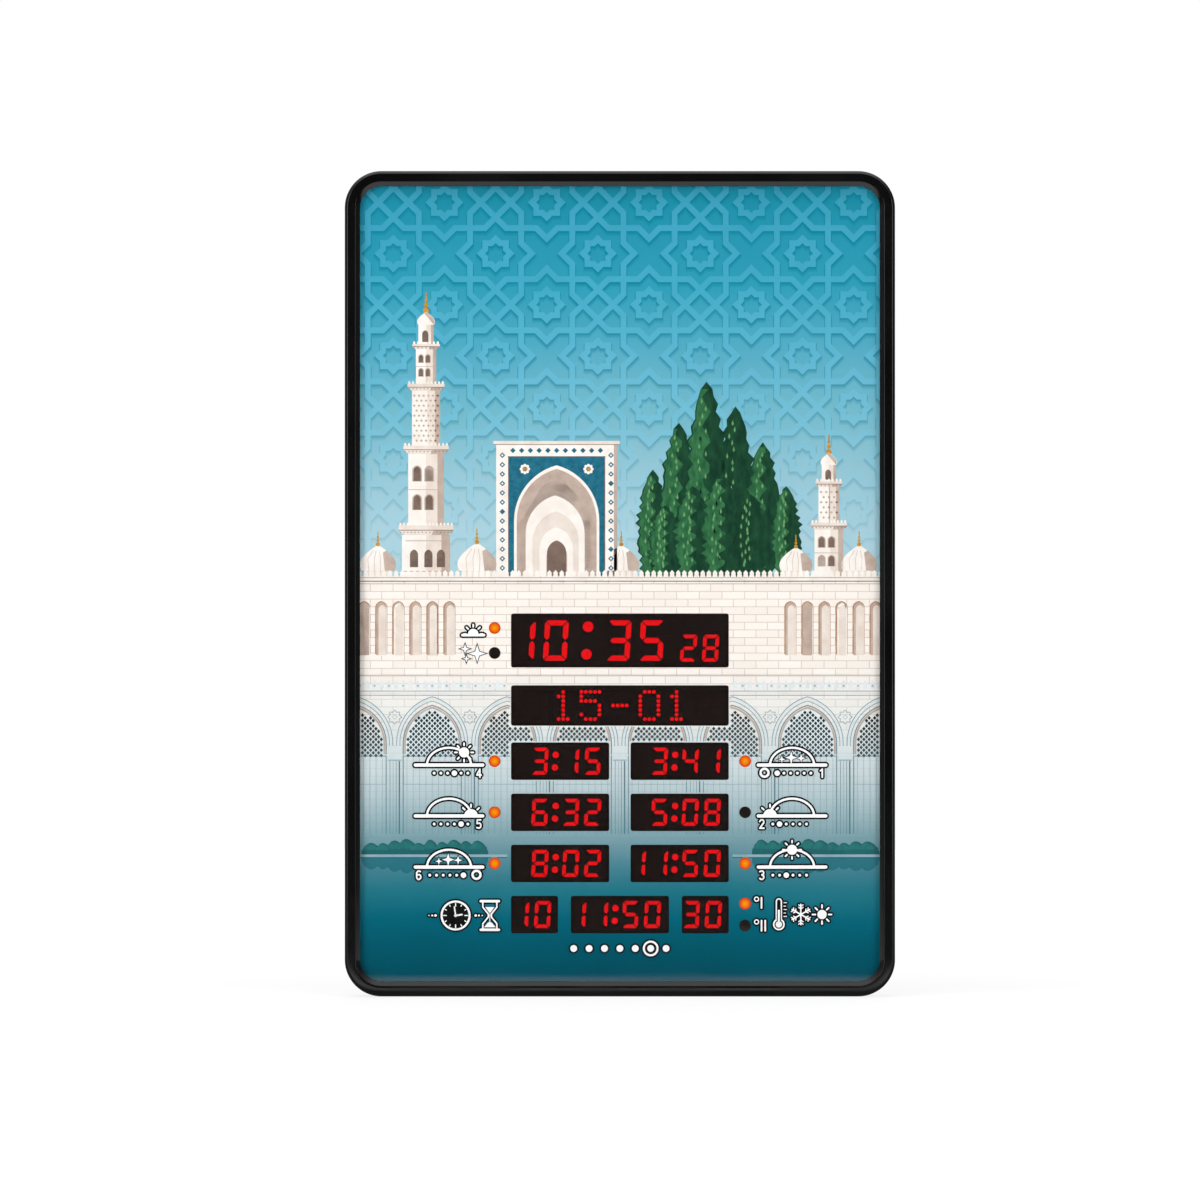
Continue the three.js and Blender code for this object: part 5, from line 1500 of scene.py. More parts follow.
def drawWall():
    lines = Layer("print_wall", scenery["nearY"])
    m, f, n = wall["merlons"], wall["frieze"], wall["niches"]
    start = (m["from"], scenery["inkY"], scenery["wallTop"] - m["drop"])
    source = merlonSource("merlonSource", m["width"], m["height"])
    toSheet(rowOf("print_merlons", source, m["count"], start, (m["pitch"], 0, 0), inks["stoneLight"]))
    for drop, width, ink, order in wall["coping"]:
        lines.across(ink, scenery["wallTop"] - drop, width, order)
    for i in range(-n["each"], n["each"] + 1):
        x = i * n["pitch"]
        if abs(x) < n["from"]:
            continue
        niche = pointedArch(x, n["foot"], n["spring"], n["half"], 8)
        spread, lift = n["surround"]
        lines.add("timber", [(px + (px - x) * spread, pz + lift) for px, pz in niche], 0)
        lines.add("stoneLight", placed(niche, *n["light"]), 1)
        lines.add("stoneShade", niche, 2)
        lines.add("stone", pointedArch(x + n["shift"], n["foot"], n["spring"] - 1, n["inner"], 8), 3)
    for z, width, ink in wall["lines"]:
        lines.across(ink, z, width)
    frieze = [(f["from"] + f["pitch"] * i, f["z"]) for i in range(f["count"])]
    frieze = [(x, z) for x, z in frieze if not insideWindow(x, z + 3, 2.6)]
    source = merlonSource("friezeSource", f["width"], f["height"])
    toSheet(stoodOn("print_frieze", frieze, scenery["detailY"], source, inks["coolStone"]))
    dots = [(x, z + 2.0) for x, z in frieze[::2] if not insideWindow(x, z + 2, 2)]
    source = prismSource("friezeDot", disc(0, 0, f["dot"], 10), scenery["skin"])
    toSheet(stoodOn("print_frieze_dots", dots, scenery["inkY"], source, inks["coolShade"]))
    lines.settle()


arcade = {
    "each": 4, "pitch": 54.6, "half": 20.5, "spring": -116.0, "foot": -182,
    # outlines round the arch: growth, width, ink, order, and whether they run down to the foot
    "rims": (
        (5.4, 0.5, "coolLine", 0, False), (4.3, 1.5, "coolStone", 0, False), (3.0, 0.45, "coolLine", 1, False),
        (0.6, 0.8, "coolLine", 1, True),
    ),
    # level lines across an opening: drop, width, ink, order
    "rails": ((9.4, 0.7, "coolLine", 1), (30, 0.4, "coolShade", 0)),
    # lines down each column: shift, width, ink
    "shafts": ((-3.4, 0.5, "coolLine"), (-1.1, 0.45, "coolShade"), (1.1, 0.5, "coolLine"), (3.4, 1.0, "coolDeep")),
    # its capital: drop, length, width, ink
    "capital": ((12.4, 9.6, 1.0, "coolShade"), (10.6, 11.2, 1.4, "coolStone"), (8.6, 12.6, 0.9, "coolStone")),
    "leaf": ((-1.3, 0), (0, -1.5), (1.3, 0), (0, 1.5)), "leafPitch": (3.9, 1.95), "leafRows": (-4, 16),
    "leafColumns": (-7, 8), "leafRoom": 1.3, "leafMargin": 2.2, "sill": 9, "sheetEdge": 189,
    "starRise": 19, "starReach": (5.2, 3.7), "starHeart": 1.7, "starLines": (0.5, 0.45), "shaftDrop": 13,
    "slats": 4, "slatPitch": 4.6, "slatDrop": 10.5, "slatWidth": 0.35,
}


def drawColumn(lines, x):
    spring, middle = arcade["spring"], arcade["spring"] + arcade["starRise"]
    for offset, width, ink in arcade["shafts"]:
        lines.stroke(ink, [(x + offset, spring - arcade["shaftDrop"]), (x + offset, arcade["foot"])], width)
    for drop, length, width, ink in arcade["capital"]:
        lines.stroke(ink, [(x - length / 2, spring - drop), (x + length / 2, spring - drop)], width, 2)
    outer, inner = arcade["starLines"]
    star = [polar(x, middle, arcade["starReach"][i % 2], math.pi * i / 8) for i in range(16)]
    lines.stroke("coolLine", closedLine(star), outer)
    lines.stroke("coolShade", closedLine(disc(x, middle, arcade["starHeart"], 4)), inner)


def grilleHoles(x):
    # where the leaves of one pierced screen stand
    pitchX, pitchZ = arcade["leafPitch"]
    spring, holes = arcade["spring"], []
    for row in range(*arcade["leafRows"]):
        for column in range(*arcade["leafColumns"]):
            px, pz = x + (column + 0.5 * (row % 2)) * pitchX, spring - 7 + row * pitchZ
            hidden = pz < spring - arcade["sill"] or insideWindow(px, pz, arcade["leafRoom"])
            within = insideArch(px - x, pz - spring, arcade["half"] - arcade["leafMargin"])
            if within and not hidden and abs(px) <= arcade["sheetEdge"]:
                holes.append((px, pz))
    return holes


def drawArcade():
    lines = Layer("print_arcade", scenery["nearY"])
    half, spring, foot = arcade["half"], arcade["spring"], arcade["foot"]
    holes = []
    for index in range(-arcade["each"], arcade["each"]):
        x = (index + 0.5) * arcade["pitch"]
        for grow, width, ink, order, full in arcade["rims"]:
            rim = pointedArch(x, foot if full else spring - 2, spring, half + grow, 12)
            lines.stroke(ink, rim, width, order)
        lines.stroke("stoneShade", pointedArch(x, spring - 8, spring, half - 0.7, 12), 1.3, 2)
        inner = pointedArch(x, spring - arcade["sill"], spring, half - 0.4, 12)
        if abs(x) + half < arcade["sheetEdge"] and not any(insideWindow(*point, 0.2) for point in inner):
            lines.add("coolStone", inner, 0)
        holes += grilleHoles(x)
        if index == -arcade["each"]:
            drawColumn(lines, x - arcade["pitch"] / 2)
        drawColumn(lines, x + arcade["pitch"] / 2)
        for column in range(-arcade["slats"], arcade["slats"] + 1):
            px = x + column * arcade["slatPitch"]
            lines.stroke("coolShade", [(px, spring - arcade["slatDrop"]), (px, foot)], arcade["slatWidth"])
        for drop, width, ink, order in arcade["rails"]:
            lines.stroke(ink, [(x - half, spring - drop), (x + half, spring - drop)], width, order)
    source = prismSource("grilleLeaf", arcade["leaf"], scenery["skin"])
    toSheet(stoodOn("print_grille", holes, scenery["detailY"], source, inks["grilleDark"]))
    lines.settle()


hedge = {
    "from": 86, "count": 12, "pitch": 8.6, "foot": -197.0, "half": 7.4, "height": 9.5, "sway": 3.0, "kerb": 2.4,
    "steps": 16, "ragged": 0.05, "room": 0.4, "seed": 11,
    # lines along its foot: drop, width, ink
    "lines": ((0.9, 2.0, "kerb"), (2.2, 0.7, "hedgeDark")),
}


def drawHedge():
    # a clipped hedge along the foot of the court, with a kerb before it
    bushes = Layer("print_hedge", scenery["nearY"])
    chance = random.Random(hedge["seed"])
    foot, shore = hedge["foot"], hedge["foot"] - hedge["kerb"]
    steps, ragged = hedge["steps"], hedge["ragged"]
    for side in (-1, 1):
        for i in range(hedge["count"]):
            x = side * (hedge["from"] + hedge["pitch"] * i)
            half = hedge["half"] * chance.uniform(0.85, 1.15)
            top = hedge["height"] + chance.uniform(-0.5, 0.5) * hedge["sway"]
            bush = []
            for k in range(steps + 1):
                a = math.pi * k / steps
                reach, rise = 1 + ragged * math.sin(9 * k), 1 + ragged * math.cos(7 * k)
                bush.append((half * math.cos(a) * reach, top * rise * math.sin(a)))
            crown, mirrored = placed(bush, x, foot), placed(bush, x, shore, 1, -1)
            if any(insideWindow(*point, hedge["room"]) for point in crown + mirrored):
                continue
            bushes.add("hedgeDark", crown)
            bushes.add("hedgeMid", placed(bush, x - half * 0.14, foot + top * 0.4, 0.66, 0.5), 2)
            bushes.add("poolShade", mirrored)
        for drop, width, ink in hedge["lines"]:
            ends = [(side * reach, foot - drop) for reach in (hedge["from"] - 4, scenery["sheetHalf"])]
            bushes.stroke(ink, ends, width, 4)
    bushes.settle()


drawWall()
drawArcade()
drawHedge()
print("wall and arcade drawn")


# plain pictograms beside the windows, white with a dark edge

marks = {
    "edge": 1.2, "frontY": -29.48, "whiteY": -29.50, "sides": 28,
    "rows": (
        # centre x, centre z, place in the day, share of the sun's path, kind
        (-124.3, -129.3, 4, 0.74, "high"), (-124.3, -166.3, 5, 1.0, "half"), (-124.3, -203.5, 6, 1.0, "night"),
        (125.2, -129.3, 1, 0.0, "night"), (125.2, -166.3, 2, 0.0, "half"), (125.2, -203.5, 3, 0.5, "high"),
    ),
    "pathHalf": 16.0, "pathRise": 12.6, "horizonDrop": 2.6, "horizonHalf": 24.5,
    "pathWidth": 1.6, "horizonWidth": 2.5, "rayWidth": 1.25, "rayGap": 1.5,
    # a sun's radius, rays and their length, and how much of it shows; the moon's shift, drop, radius, width
    "high": (3.7, 8, 1.5, 360), "half": (5.0, 5, 1.8, 180), "moon": (20.0, 5.6, 2.9, 1.7),
    "starWaist": 0.34, "starEdge": 1.5, "numeralHeight": 6.0, "numeralStroke": 0.19, "numeralDrop": 8.9,
    # strokes of each numeral on a grid five high
    "numerals": {
        1: ((0.3, 3.9), (1.5, 5), (1.5, 0)),
        2: ((0, 4), (0.7, 5), (1.9, 5), (2.5, 4.2), (2.4, 3.2), (0, 0), (2.6, 0)),
        3: (
            (0, 4.6), (0.8, 5), (1.8, 5), (2.4, 4.2), (2.3, 3.3), (1.3, 2.7), (2.4, 2.0), (2.5, 0.9), (1.8, 0),
            (0.7, 0), (0, 0.5),
        ),
        4: ((1.9, 0), (1.9, 5), (0, 1.4), (2.7, 1.4)),
        5: ((2.4, 5), (0.3, 5), (0.1, 2.8), (1.6, 3.1), (2.5, 2.3), (2.4, 0.8), (1.6, 0), (0, 0.3)),
        6: (
            (2.2, 4.7), (1.6, 5), (0.8, 5), (0, 4), (0, 1), (0.7, 0), (1.7, 0), (2.5, 0.9), (2.4, 2.2), (1.6, 2.9),
            (0.5, 2.6),
        ),
    },
    # small stars over a night row and the stars beside the time: x, z, reach
    "nightStars": ((-0.6, 5.4, 4.6), (6.6, 5.0, 3.2), (-7.4, 4.2, 2.7)),
    "timeStars": ((-103.8, -50.8, 6.2), (-112.6, -47.4, 3.6), (-111.6, -54.6, 2.6)),
    "sunriseLine": ((-114.6, -37.4), (-98.8, -37.4)), "sunrise": (-106.7, -36.6, 3.8, 5, 1.6, 180),
    "sunriseWidth": 1.9, "heat": (147.0, -240.6, 3.4, 8, 2.0),
    # numeral and first dot beside a row, where the row's dots stand to the left or to the right
    "leftOrder": (-23.5, -14.0), "rightOrder": (20.2, -10.8),
    # dots of the order: count, pitch, rise, radius, radius of the row's own
    "orderDots": (6, 4.9, 3.0, 1.05, 2.0),
}

markEdge = Layer("mark_edge", marks["frontY"])
markFace = Layer("mark_face", marks["whiteY"])


def grownOutline(points, amount):
    # pushes each side of a closed outline outwards
    if signedArea(points) < 0:
        points = points[::-1]
    outline = []
    for (ax, az), (bx, bz), (cx, cz) in zip(points[-1:] + points[:-1], points, points[1:] + points[:1]):
        ux, uz, vx, vz = bx - ax, bz - az, cx - bx, cz - bz
        lu, lv = math.hypot(ux, uz) or 1, math.hypot(vx, vz) or 1
        n1, n2 = (uz / lu, -ux / lu), (vz / lv, -vx / lv)
        mx, mz = n1[0] + n2[0], n1[1] + n2[1]
        scale = amount / max((mx * n1[0] + mz * n1[1]), 0.35)
        outline.append((bx + mx * scale, bz + mz * scale))
    return outline


def whiteOnly(face, order=0):
    markFace.add("labelWhite", face, order)


def mark(edge, face, order=0):
    markEdge.add("labelBlack", edge, order)
    whiteOnly(face, order)


def markDisc(x, z, radius, order=0):
    mark(disc(x, z, radius + marks["edge"], marks["sides"]), disc(x, z, radius, marks["sides"]), order)


def markLine(points, width, order=0):
    # a drawn white line with round joints and a dark edge
    for start, end in zip(points, points[1:]):
        mark(bar(*start, *end, width + 2 * marks["edge"]), bar(*start, *end, width), order)


def beyond(start, end, reach):
    # a point past the end of a stretch
    (ax, az), (bx, bz) = start, end
    length = math.hypot(bx - ax, bz - az)
    return (bx + (bx - ax) / length * reach, bz + (bz - az) / length * reach)


def markRibbon(points, width, order=0):
    edge = marks["edge"]
    longer = [beyond(points[1], points[0], edge), *points[1:-1], beyond(points[-2], points[-1], edge)]
    mark(ribbon(longer, width + 2 * edge), ribbon(points, width), order)


def markRing(x, z, radius, width, order=0):
    for start in (0, 180):
        markRibbon(curved(x, z, radius, radius, start, start + 180, 16), width, order)


def markNumeral(number, x, z):
    size = marks["numeralHeight"] / 5
    markLine(placed(marks["numerals"][number], x, z, size), marks["numeralHeight"] * marks["numeralStroke"], 2)


def markSun(x, z, radius, rays, reach, end=360):
    # a whole sun, or half of one over the horizon
    if end == 360:
        markDisc(x, z, radius, 3)
    else:
        outline = curved(x, z, radius, radius, 0, end, 16)
        mark(grownOutline(outline, marks["edge"]), outline, 3)
    inner = radius + marks["rayGap"]
    for i in range(rays):
        a = math.radians(end * i / (rays if end == 360 else rays - 1))
        markLine([polar(x, z, inner, a), polar(x, z, inner + reach, a)], marks["rayWidth"], 3)


def markStar(x, z, radius):
    points = [polar(0, 0, radius * (marks["starWaist"] if i % 2 else 1), math.pi * i / 4) for i in range(8)]
    grow = 1 + marks["starEdge"] * marks["edge"] / radius
    mark(placed(points, x, z, grow), placed(points, x, z), 2)


def drawDayRow(x, z, number, share, kind):
    # where the sun stands in the day, with its place in the order below
    ground, half = z - marks["horizonDrop"], marks["horizonHalf"]
    markRibbon(curved(x, ground, marks["pathHalf"], marks["pathRise"], 0, 180, 26), marks["pathWidth"])
    markLine([(x - half, ground), (x + half, ground)], marks["horizonWidth"], 1)
    a = math.pi * (1 - share)
    sunX, sunZ = x + marks["pathHalf"] * math.cos(a), ground + marks["pathRise"] * math.sin(a)
    side = 1 if share > 0.5 else -1
    if kind != "night":
        markSun(sunX, sunZ if kind == "high" else ground, *marks[kind])
    else:
        shift, drop, radius, width = marks["moon"]
        markRing(x + side * shift, ground - drop, radius, width, 2)
        for dx, dz, size in marks["nightStars"]:
            markStar(x + dx, ground + dz, size)
    low = ground - marks["numeralDrop"]
    left = side > 0 if kind == "night" else x > 0
    numeral, first = marks["leftOrder" if left else "rightOrder"]
    markNumeral(number, x + numeral, low)
    count, pitch, rise, plain, own = marks["orderDots"]
    for i in range(count):
        markDisc(x + first + pitch * i, low + rise, own if i + 1 == number else plain, 1)


hourglass = {
    "x": -94.6, "z": -241.3, "half": 6.6, "rise": 10.4, "plate": 1.9, "rim": 1.1,
    # one wall from the waist to the plate, and the sand above and below
    "glass": ((-1.0, 0), (-1.2, 1.2), (-5.1, 6.0), (-5.1, 9.4)),
    "sand": (
        ((-3.4, 6.1), (3.4, 6.1), (0, 1.6)), ((-4.2, -8.6), (4.2, -8.6), (1.6, -5.4), (0, -4.6), (-1.6, -5.4)),
        box(0, -1.8, 0.5, 6.4),
    ),
}


def drawHourglass():
    x, z, half = (hourglass[key] for key in ("x", "z", "half"))
    for side in (-1, 1):
        level = z + side * hourglass["rise"]
        markLine([(x - half, level), (x + half, level)], hourglass["plate"], 3)
        for pane in (hourglass["glass"], flipped(hourglass["glass"])):
            markRibbon(placed(pane, x, z, 1, side), hourglass["rim"], 1)
    for sand in hourglass["sand"]:
        whiteOnly(placed(sand, x, z), 2)


dial = {
    "x": -119.5, "z": -241.3, "radius": 10.2, "rim": 1.5, "hub": 1.1,
    # shares of the radius: outer end of a tick, inner end of a plain one and of each third
    "ticks": (0.86, 0.76, 0.66), "tick": 0.75,
    # angle, share of the radius, width
    "hands": ((98, 0.62, 0.95), (8, 0.46, 1.2)),
    # dots beside it: distance and radius
    "dots": ((14.6, 0.95), (17.0, 0.73), (19.4, 0.51)),
}


def drawDial():
    x, z, radius = (dial[key] for key in ("x", "z", "radius"))
    outer, plain, third = dial["ticks"]
    markRing(x, z, radius, dial["rim"], 1)
    for i in range(12):
        a = math.radians(30 * i)
        inner = radius * (plain if i % 3 else third)
        whiteOnly(bar(*polar(x, z, inner, a), *polar(x, z, radius * outer, a), dial["tick"]))
    markEdge.add("labelBlack", disc(x, z, radius, 32))
    for angle, reach, width in dial["hands"]:
        whiteOnly(bar(x, z, *polar(x, z, radius * reach, math.radians(angle)), width), 2)
    whiteOnly(disc(x, z, dial["hub"], 16), 3)
    for side in (-1, 1):
        for distance, size in dial["dots"]:
            markDisc(x + side * distance, z, size, 1)


thermometer = {
    "x": 115.6, "z": -240.6, "foot": -7.2, "top": 9.6,
    # the glass and its dark inside: radii of bulb and tube, where the bulb starts, steps of each
    "glass": (4.3, 2.3, 122, 22, 12), "inside": (3.2, 1.3, 120, 20, 10),
    "bulb": 2.3, "column": (0, -1.8, 1.5, 10.4),
    # marks beside the tube: count, first drop, pitch, start, ends of a long and a short one, width
    "scale": (5, 1, 2.5, 3.7, (5.7, 4.9), 0.6),
}


def drawThermometer():
    x, z = thermometer["x"], thermometer["z"]
    foot, top = z + thermometer["foot"], z + thermometer["top"]

    def tube(bulb, half, start, bulbSteps, topSteps):
        around = curved(x, foot, bulb, bulb, start, 540 - start, bulbSteps)
        return around + curved(x, top, half, half, 0, 180, topSteps)

    outline = tube(*thermometer["glass"])
    mark(grownOutline(outline, marks["edge"]), outline, 1)
    markFace.add("labelBlack", tube(*thermometer["inside"]), 3)
    whiteOnly(disc(x, foot, thermometer["bulb"], 24), 5)
    shift, rise, width, height = thermometer["column"]
    whiteOnly(box(x + shift, z + rise, width, height), 5)
    count, drop, pitch, start, ends, width = thermometer["scale"]
    for i in range(count):
        height = top - drop - pitch * i
        markLine([(x + start, height), (x + ends[i % 2], height)], width, 1)


flake = {"x": 131.6, "z": -240.6, "reach": 7.4, "width": 1.05, "knots": (0.55, 0.8), "twig": 0.27, "twigWidth": 0.8}


def drawFlake():
    x, z, reach = (flake[key] for key in ("x", "z", "reach"))
    for i in range(6):
        a = math.radians(30 + 60 * i)
        markLine([(x, z), polar(x, z, reach, a)], flake["width"], 1)
        for share in flake["knots"]:
            knot = polar(x, z, reach * share, a)
            for turn in (-55, 55):
                markLine([knot, polar(*knot, reach * flake["twig"], a + math.radians(turn))], flake["twigWidth"], 1)


# a ring with one or two bars beside the last two lamps: x, z, bars
units = {
    "places": ((102.4, -232.2, 1), (102.4, -248.8, 2)), "ring": (-3.0, 2.8, 1.5, 0.85),
    # first bar's shift, pitch, foot, top, width
    "bar": (0.6, 2.7, -3.6, 3.8, 1.25),
}


def drawUnit(x, z, bars):
    shift, rise, radius, width = units["ring"]
    markRing(x + shift, z + rise, radius, width, 1)
    shift, pitch, foot, top, width = units["bar"]
    for i in range(bars):
        middle = x + shift + pitch * i
        markLine([(middle, z + foot), (middle, z + top)], width, 1)


days = {"count": 7, "ringed": 5, "pitch": 11.2, "z": -265.3, "radius": 2.5, "ring": 5.0, "rim": 1.5}


def drawDays():
    for i in range(days["count"]):
        x = (i - days["count"] // 2) * days["pitch"]
        if i == days["ringed"]:
            markRing(x, days["z"], days["ring"], days["rim"], 1)
        markDisc(x, days["z"], days["radius"], 2 if i == days["ringed"] else 1)


def drawMarks():
    for row in marks["rows"]:
        drawDayRow(*row)
    markLine(marks["sunriseLine"], marks["sunriseWidth"], 4)
    markSun(*marks["sunrise"])
    for star in marks["timeStars"]:
        markStar(*star)
    drawHourglass()
    drawDial()
    for unit in units["places"]:
        drawUnit(*unit)
    drawThermometer()
    drawFlake()
    markSun(*marks["heat"])
    drawDays()
    markEdge.settle()
    markFace.settle()


drawMarks()
print("pictograms drawn")


# back and sides: moulded edges, screws, keys and the battery door

rear = {
    "coverEdge": 0.45, "doorEdge": 0.3, "keyEdge": 0.7, "keyEdgeSteps": 3, "sharp": 38, "smooth": 40, "flat": 0.4,
    "keyMark": 1.5, "keyMarkLift": 0.1,
    "grip": {
        "ribs": 5, "pitch": 2.0, "length": 9.0, "width": 0.8, "floor": -1.0, "rise": 0.5, "drop": 9.4, "radius": 7.2,
    },
}

screw = {
    "head": 2.5, "height": 1.8, "sides": 24, "recess": 0.8, "recessFoot": 0.8, "arm": 1.6, "half": 0.36,
    # shares of the head's radius and height
    "rings": ((1.0, 0.0), (1.0, 0.45), (0.93, 0.78), (0.8, 0.95)),
    "shank": 1.2, "length": 11.0, "taper": 0.8, "tip": 0.35,
}


def softened(node, name, material, offset, chosen, steps=2):
    # the solid's own shape, with small moulded radii along the chosen edges
    shape = bmesh.new()
    shape.from_mesh(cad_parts[node].data)
    bmesh.ops.remove_doubles(shape, verts=shape.verts, dist=1e-5)
    bmesh.ops.dissolve_limit(shape, angle_limit=math.radians(rear["flat"]), verts=shape.verts, edges=shape.edges)
    sharp = math.radians(rear["sharp"])
    edges = [
        edge for edge in shape.edges
        if len(edge.link_faces) == 2 and edge.is_convex and edge.calc_face_angle(0) > sharp and chosen(edge)
    ]
    bmesh.ops.bevel(
        shape, geom=edges, offset=offset * mm, offset_type="OFFSET", segments=steps, profile=0.5, affect="EDGES",
        clamp_overlap=False,
    )
    piece = pieceFrom(name, outward(shape), material, rear["smooth"])
    piece.modifiers.new("flat_faces", "WEIGHTED_NORMAL").keep_sharp = True
    mesh = evaluatedMesh(piece)
    piece.modifiers.clear()
    plain, piece.data = piece.data, mesh
    bpy.data.meshes.remove(plain)
    return piece


def onRearFace(edge):
    return all(vert.co.y > -1e-5 for vert in edge.verts)


for node, name, offset, body in (
    ("rear_cover", "rear_shell", "coverEdge", "case"), ("battery_door", "door_plate", "doorEdge", "battery_door"),
):
    moulding = softened(node, name, finishes["moulded_black"], rear[offset], onRearFace)
    settle(moulding, body, "textured_black_plastic", node)


def screwSource():
    # pan head with a cross recess, on a shank that tapers to a point
    shape = bmesh.new()
    head, height, sides, arm, half = (screw[key] for key in ("head", "height", "sides", "arm", "half"))
    upper = [(arm, half), (half, half), (half, arm)]
    cross = [*upper[1:], *flipped(upper), *placed(upper, 0, 0, -1), *placed(flipped(upper), 0, 0, -1), upper[0]]
    shank, foot = screw["shank"] / head, screw["length"] / height
    levels = [(shank * screw["tip"], -foot), (shank, screw["taper"] * -foot), (shank, 0.0), *screw["rings"]]
    loops = [vertsAt(shape, disc(0, 0, head * share, sides), rise * height) for share, rise in levels]
    shape.faces.new(loops[0])
    bridge(shape, loops)
    rim = vertsAt(shape, cross, height)
    floor = vertsAt(shape, placed(cross, 0, 0, screw["recessFoot"]), height - screw["recess"])
    edges = [shape.edges.get((vert, after)) for vert, after in zip(loops[-1], loops[-1][1:] + loops[-1][:1])]
    edges += [shape.edges.new(pair) for pair in zip(rim, rim[1:] + rim[:1])]
    bmesh.ops.triangle_fill(shape, use_beauty=True, edges=edges)
    bridge(shape, [rim, floor])
    shape.faces.new(floor)
    return newObject("screwSource", asMesh("screwSource", outward(shape)))


def middleOf(low, high, axis):
    return (low[axis] + high[axis]) / 2 / mm


def buildScrews():
    screws = sorted(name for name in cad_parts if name.startswith("case_screw"))
    corners = [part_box(name) for name in screws]
    places = [(middleOf(low, high, 0), middleOf(low, high, 2)) for low, high in corners]
    seat = corners[-1][1][1] / mm - screw["height"]
    heads = stoodOn("screw_heads", places, seat, screwSource(), finishes["blackened_steel"])
    settle(heads, "case", "blackened_steel", *screws)


buildScrews()


def sidePrism(shape, points, x, thickness):
    # a flat shape in depth and height, standing on a side face
    made = bmesh.new()
    addPrism(made, points, -x - thickness, -x)
    bmesh.ops.transform(made, matrix=Matrix.Rotation(math.pi / 2, 4, "Z"), verts=made.verts)
    holder = asMesh("holder", made)
    shape.from_mesh(holder)
    bpy.data.meshes.remove(holder)


# plain control signs, in units of their half size: ring, arrows, sound wedge, square
keySigns = {
    "set_key": [ribbon(curved(0, 0, 0.75, 0.75, start, start + 180, 10), 0.4) for start in (0, 180)],
    "up_key": [((-1, -0.7), (1, -0.7), (0, 0.9))],
    "down_key": [((-1, 0.7), (0, -0.9), (1, 0.7))],
    "volume_key": [
        ((1, -0.4), (0.4, -0.4), (-0.3, -1), (-0.3, 1), (0.4, 0.4), (1, 0.4)), box(-0.85, 0, 0.3, 1.1),
    ],
    "stop_key": [box(0, 0, 1.4, 1.4)],
}


def buildKey(key):
    low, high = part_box(key)

    def onCap(edge):
        return all(vert.co.x > high[0] - 1e-5 for vert in edge.verts)

    cap = softened(key, key + "_cap", finishes["key_rubber"], rear["keyEdge"], onCap, rear["keyEdgeSteps"])
    settle(cap, key, "key_rubber", key)
    shape = bmesh.new()
    for points in keySigns[key]:
        sign = placed(points, middleOf(low, high, 1), middleOf(low, high, 2), rear["keyMark"])
        sidePrism(shape, sign, high[0] / mm, rear["keyMarkLift"])
    settle(pieceFrom(key + "_mark", shape, finishes["key_paint"]), key, "key_rubber")


for key in keySigns:
    buildKey(key)


def buildDoorGrip():
    # ribs in the thumb recess of the battery door
    low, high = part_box("battery_door")
    x, grip = middleOf(low, high, 0), rear["grip"]
    shape = bmesh.new()
    for i in range(grip["ribs"]):
        drop = (i - (grip["ribs"] - 1) / 2) * grip["pitch"]
        half = min(grip["length"], math.sqrt(max(grip["radius"] ** 2 - drop ** 2, 1)) * 2) / 2
        z = high[2] / mm - grip["drop"] - drop
        rib = bar(x - half, z, x + half, z, grip["width"], 4)
        addPrism(shape, rib, grip["floor"], grip["floor"] + grip["rise"])
    piece = pieceFrom("door_grip", shape, finishes["moulded_black"], rear["smooth"])
    settle(piece, "battery_door", "textured_black_plastic")


buildDoorGrip()
print("rear and sides built")


# stage, light and camera

studio = {
    "floorZ": -0.3003, "floorSize": 7.0, "floorGlow": 1.08, "mirrorGlow": 1.3, "ambient": 0.54,
    # depth in the floor's mirror image, share from front to back, and how bright it looks there
    "mirrorSpan": (-1.2, 0.3),
    "mirror": ((0.0, 0.01), (0.54, 0.012), (0.6, 1), (0.7, 1), (0.75, 0.12), (0.83, 0.1), (1.0, 0.3)),
    # what glossy rays see of the room by direction: from and to, values from and to
    "ahead": (0.72, 0.95, 1.0, 0.02), "right": (0.3, 0.9, 1.0, 0.12), "left": (-0.95, -0.4, 0.2, 0.9),
    "above": (0.4, 0.9, 1.0, 1.7),
    # lamps: name, place, target, size, watts, whether it shows in reflections
    "lamps": (
        ("top_softbox", (-0.1, -0.9, 2.0), (0, -0.02, 0), (1.8, 0.9), 19, False),
        ("left_softbox", (-1.7, -1.7, 0.2), (0, -0.02, -0.1), (0.9, 1.8), 23, True),
        ("right_softbox", (1.9, -1.9, 0.0), (0, -0.02, -0.1), (0.9, 1.6), 20, True),
        ("back_softbox", (0.3, 2.0, 0.9), (0, 0, 0), (1.6, 1.2), 14, True),
    ),
    "cameraDistance": 6.0, "frontDepth": 0.03, "frameWidth": 0.8727, "shiftX": -0.01447, "shiftZ": -0.01186,
    "sensor": 36, "clipEnd": 50,
}


def seenDirectly(path):
    return ("MAXIMUM", path["Is Camera Ray"], path["Is Transmission Ray"])


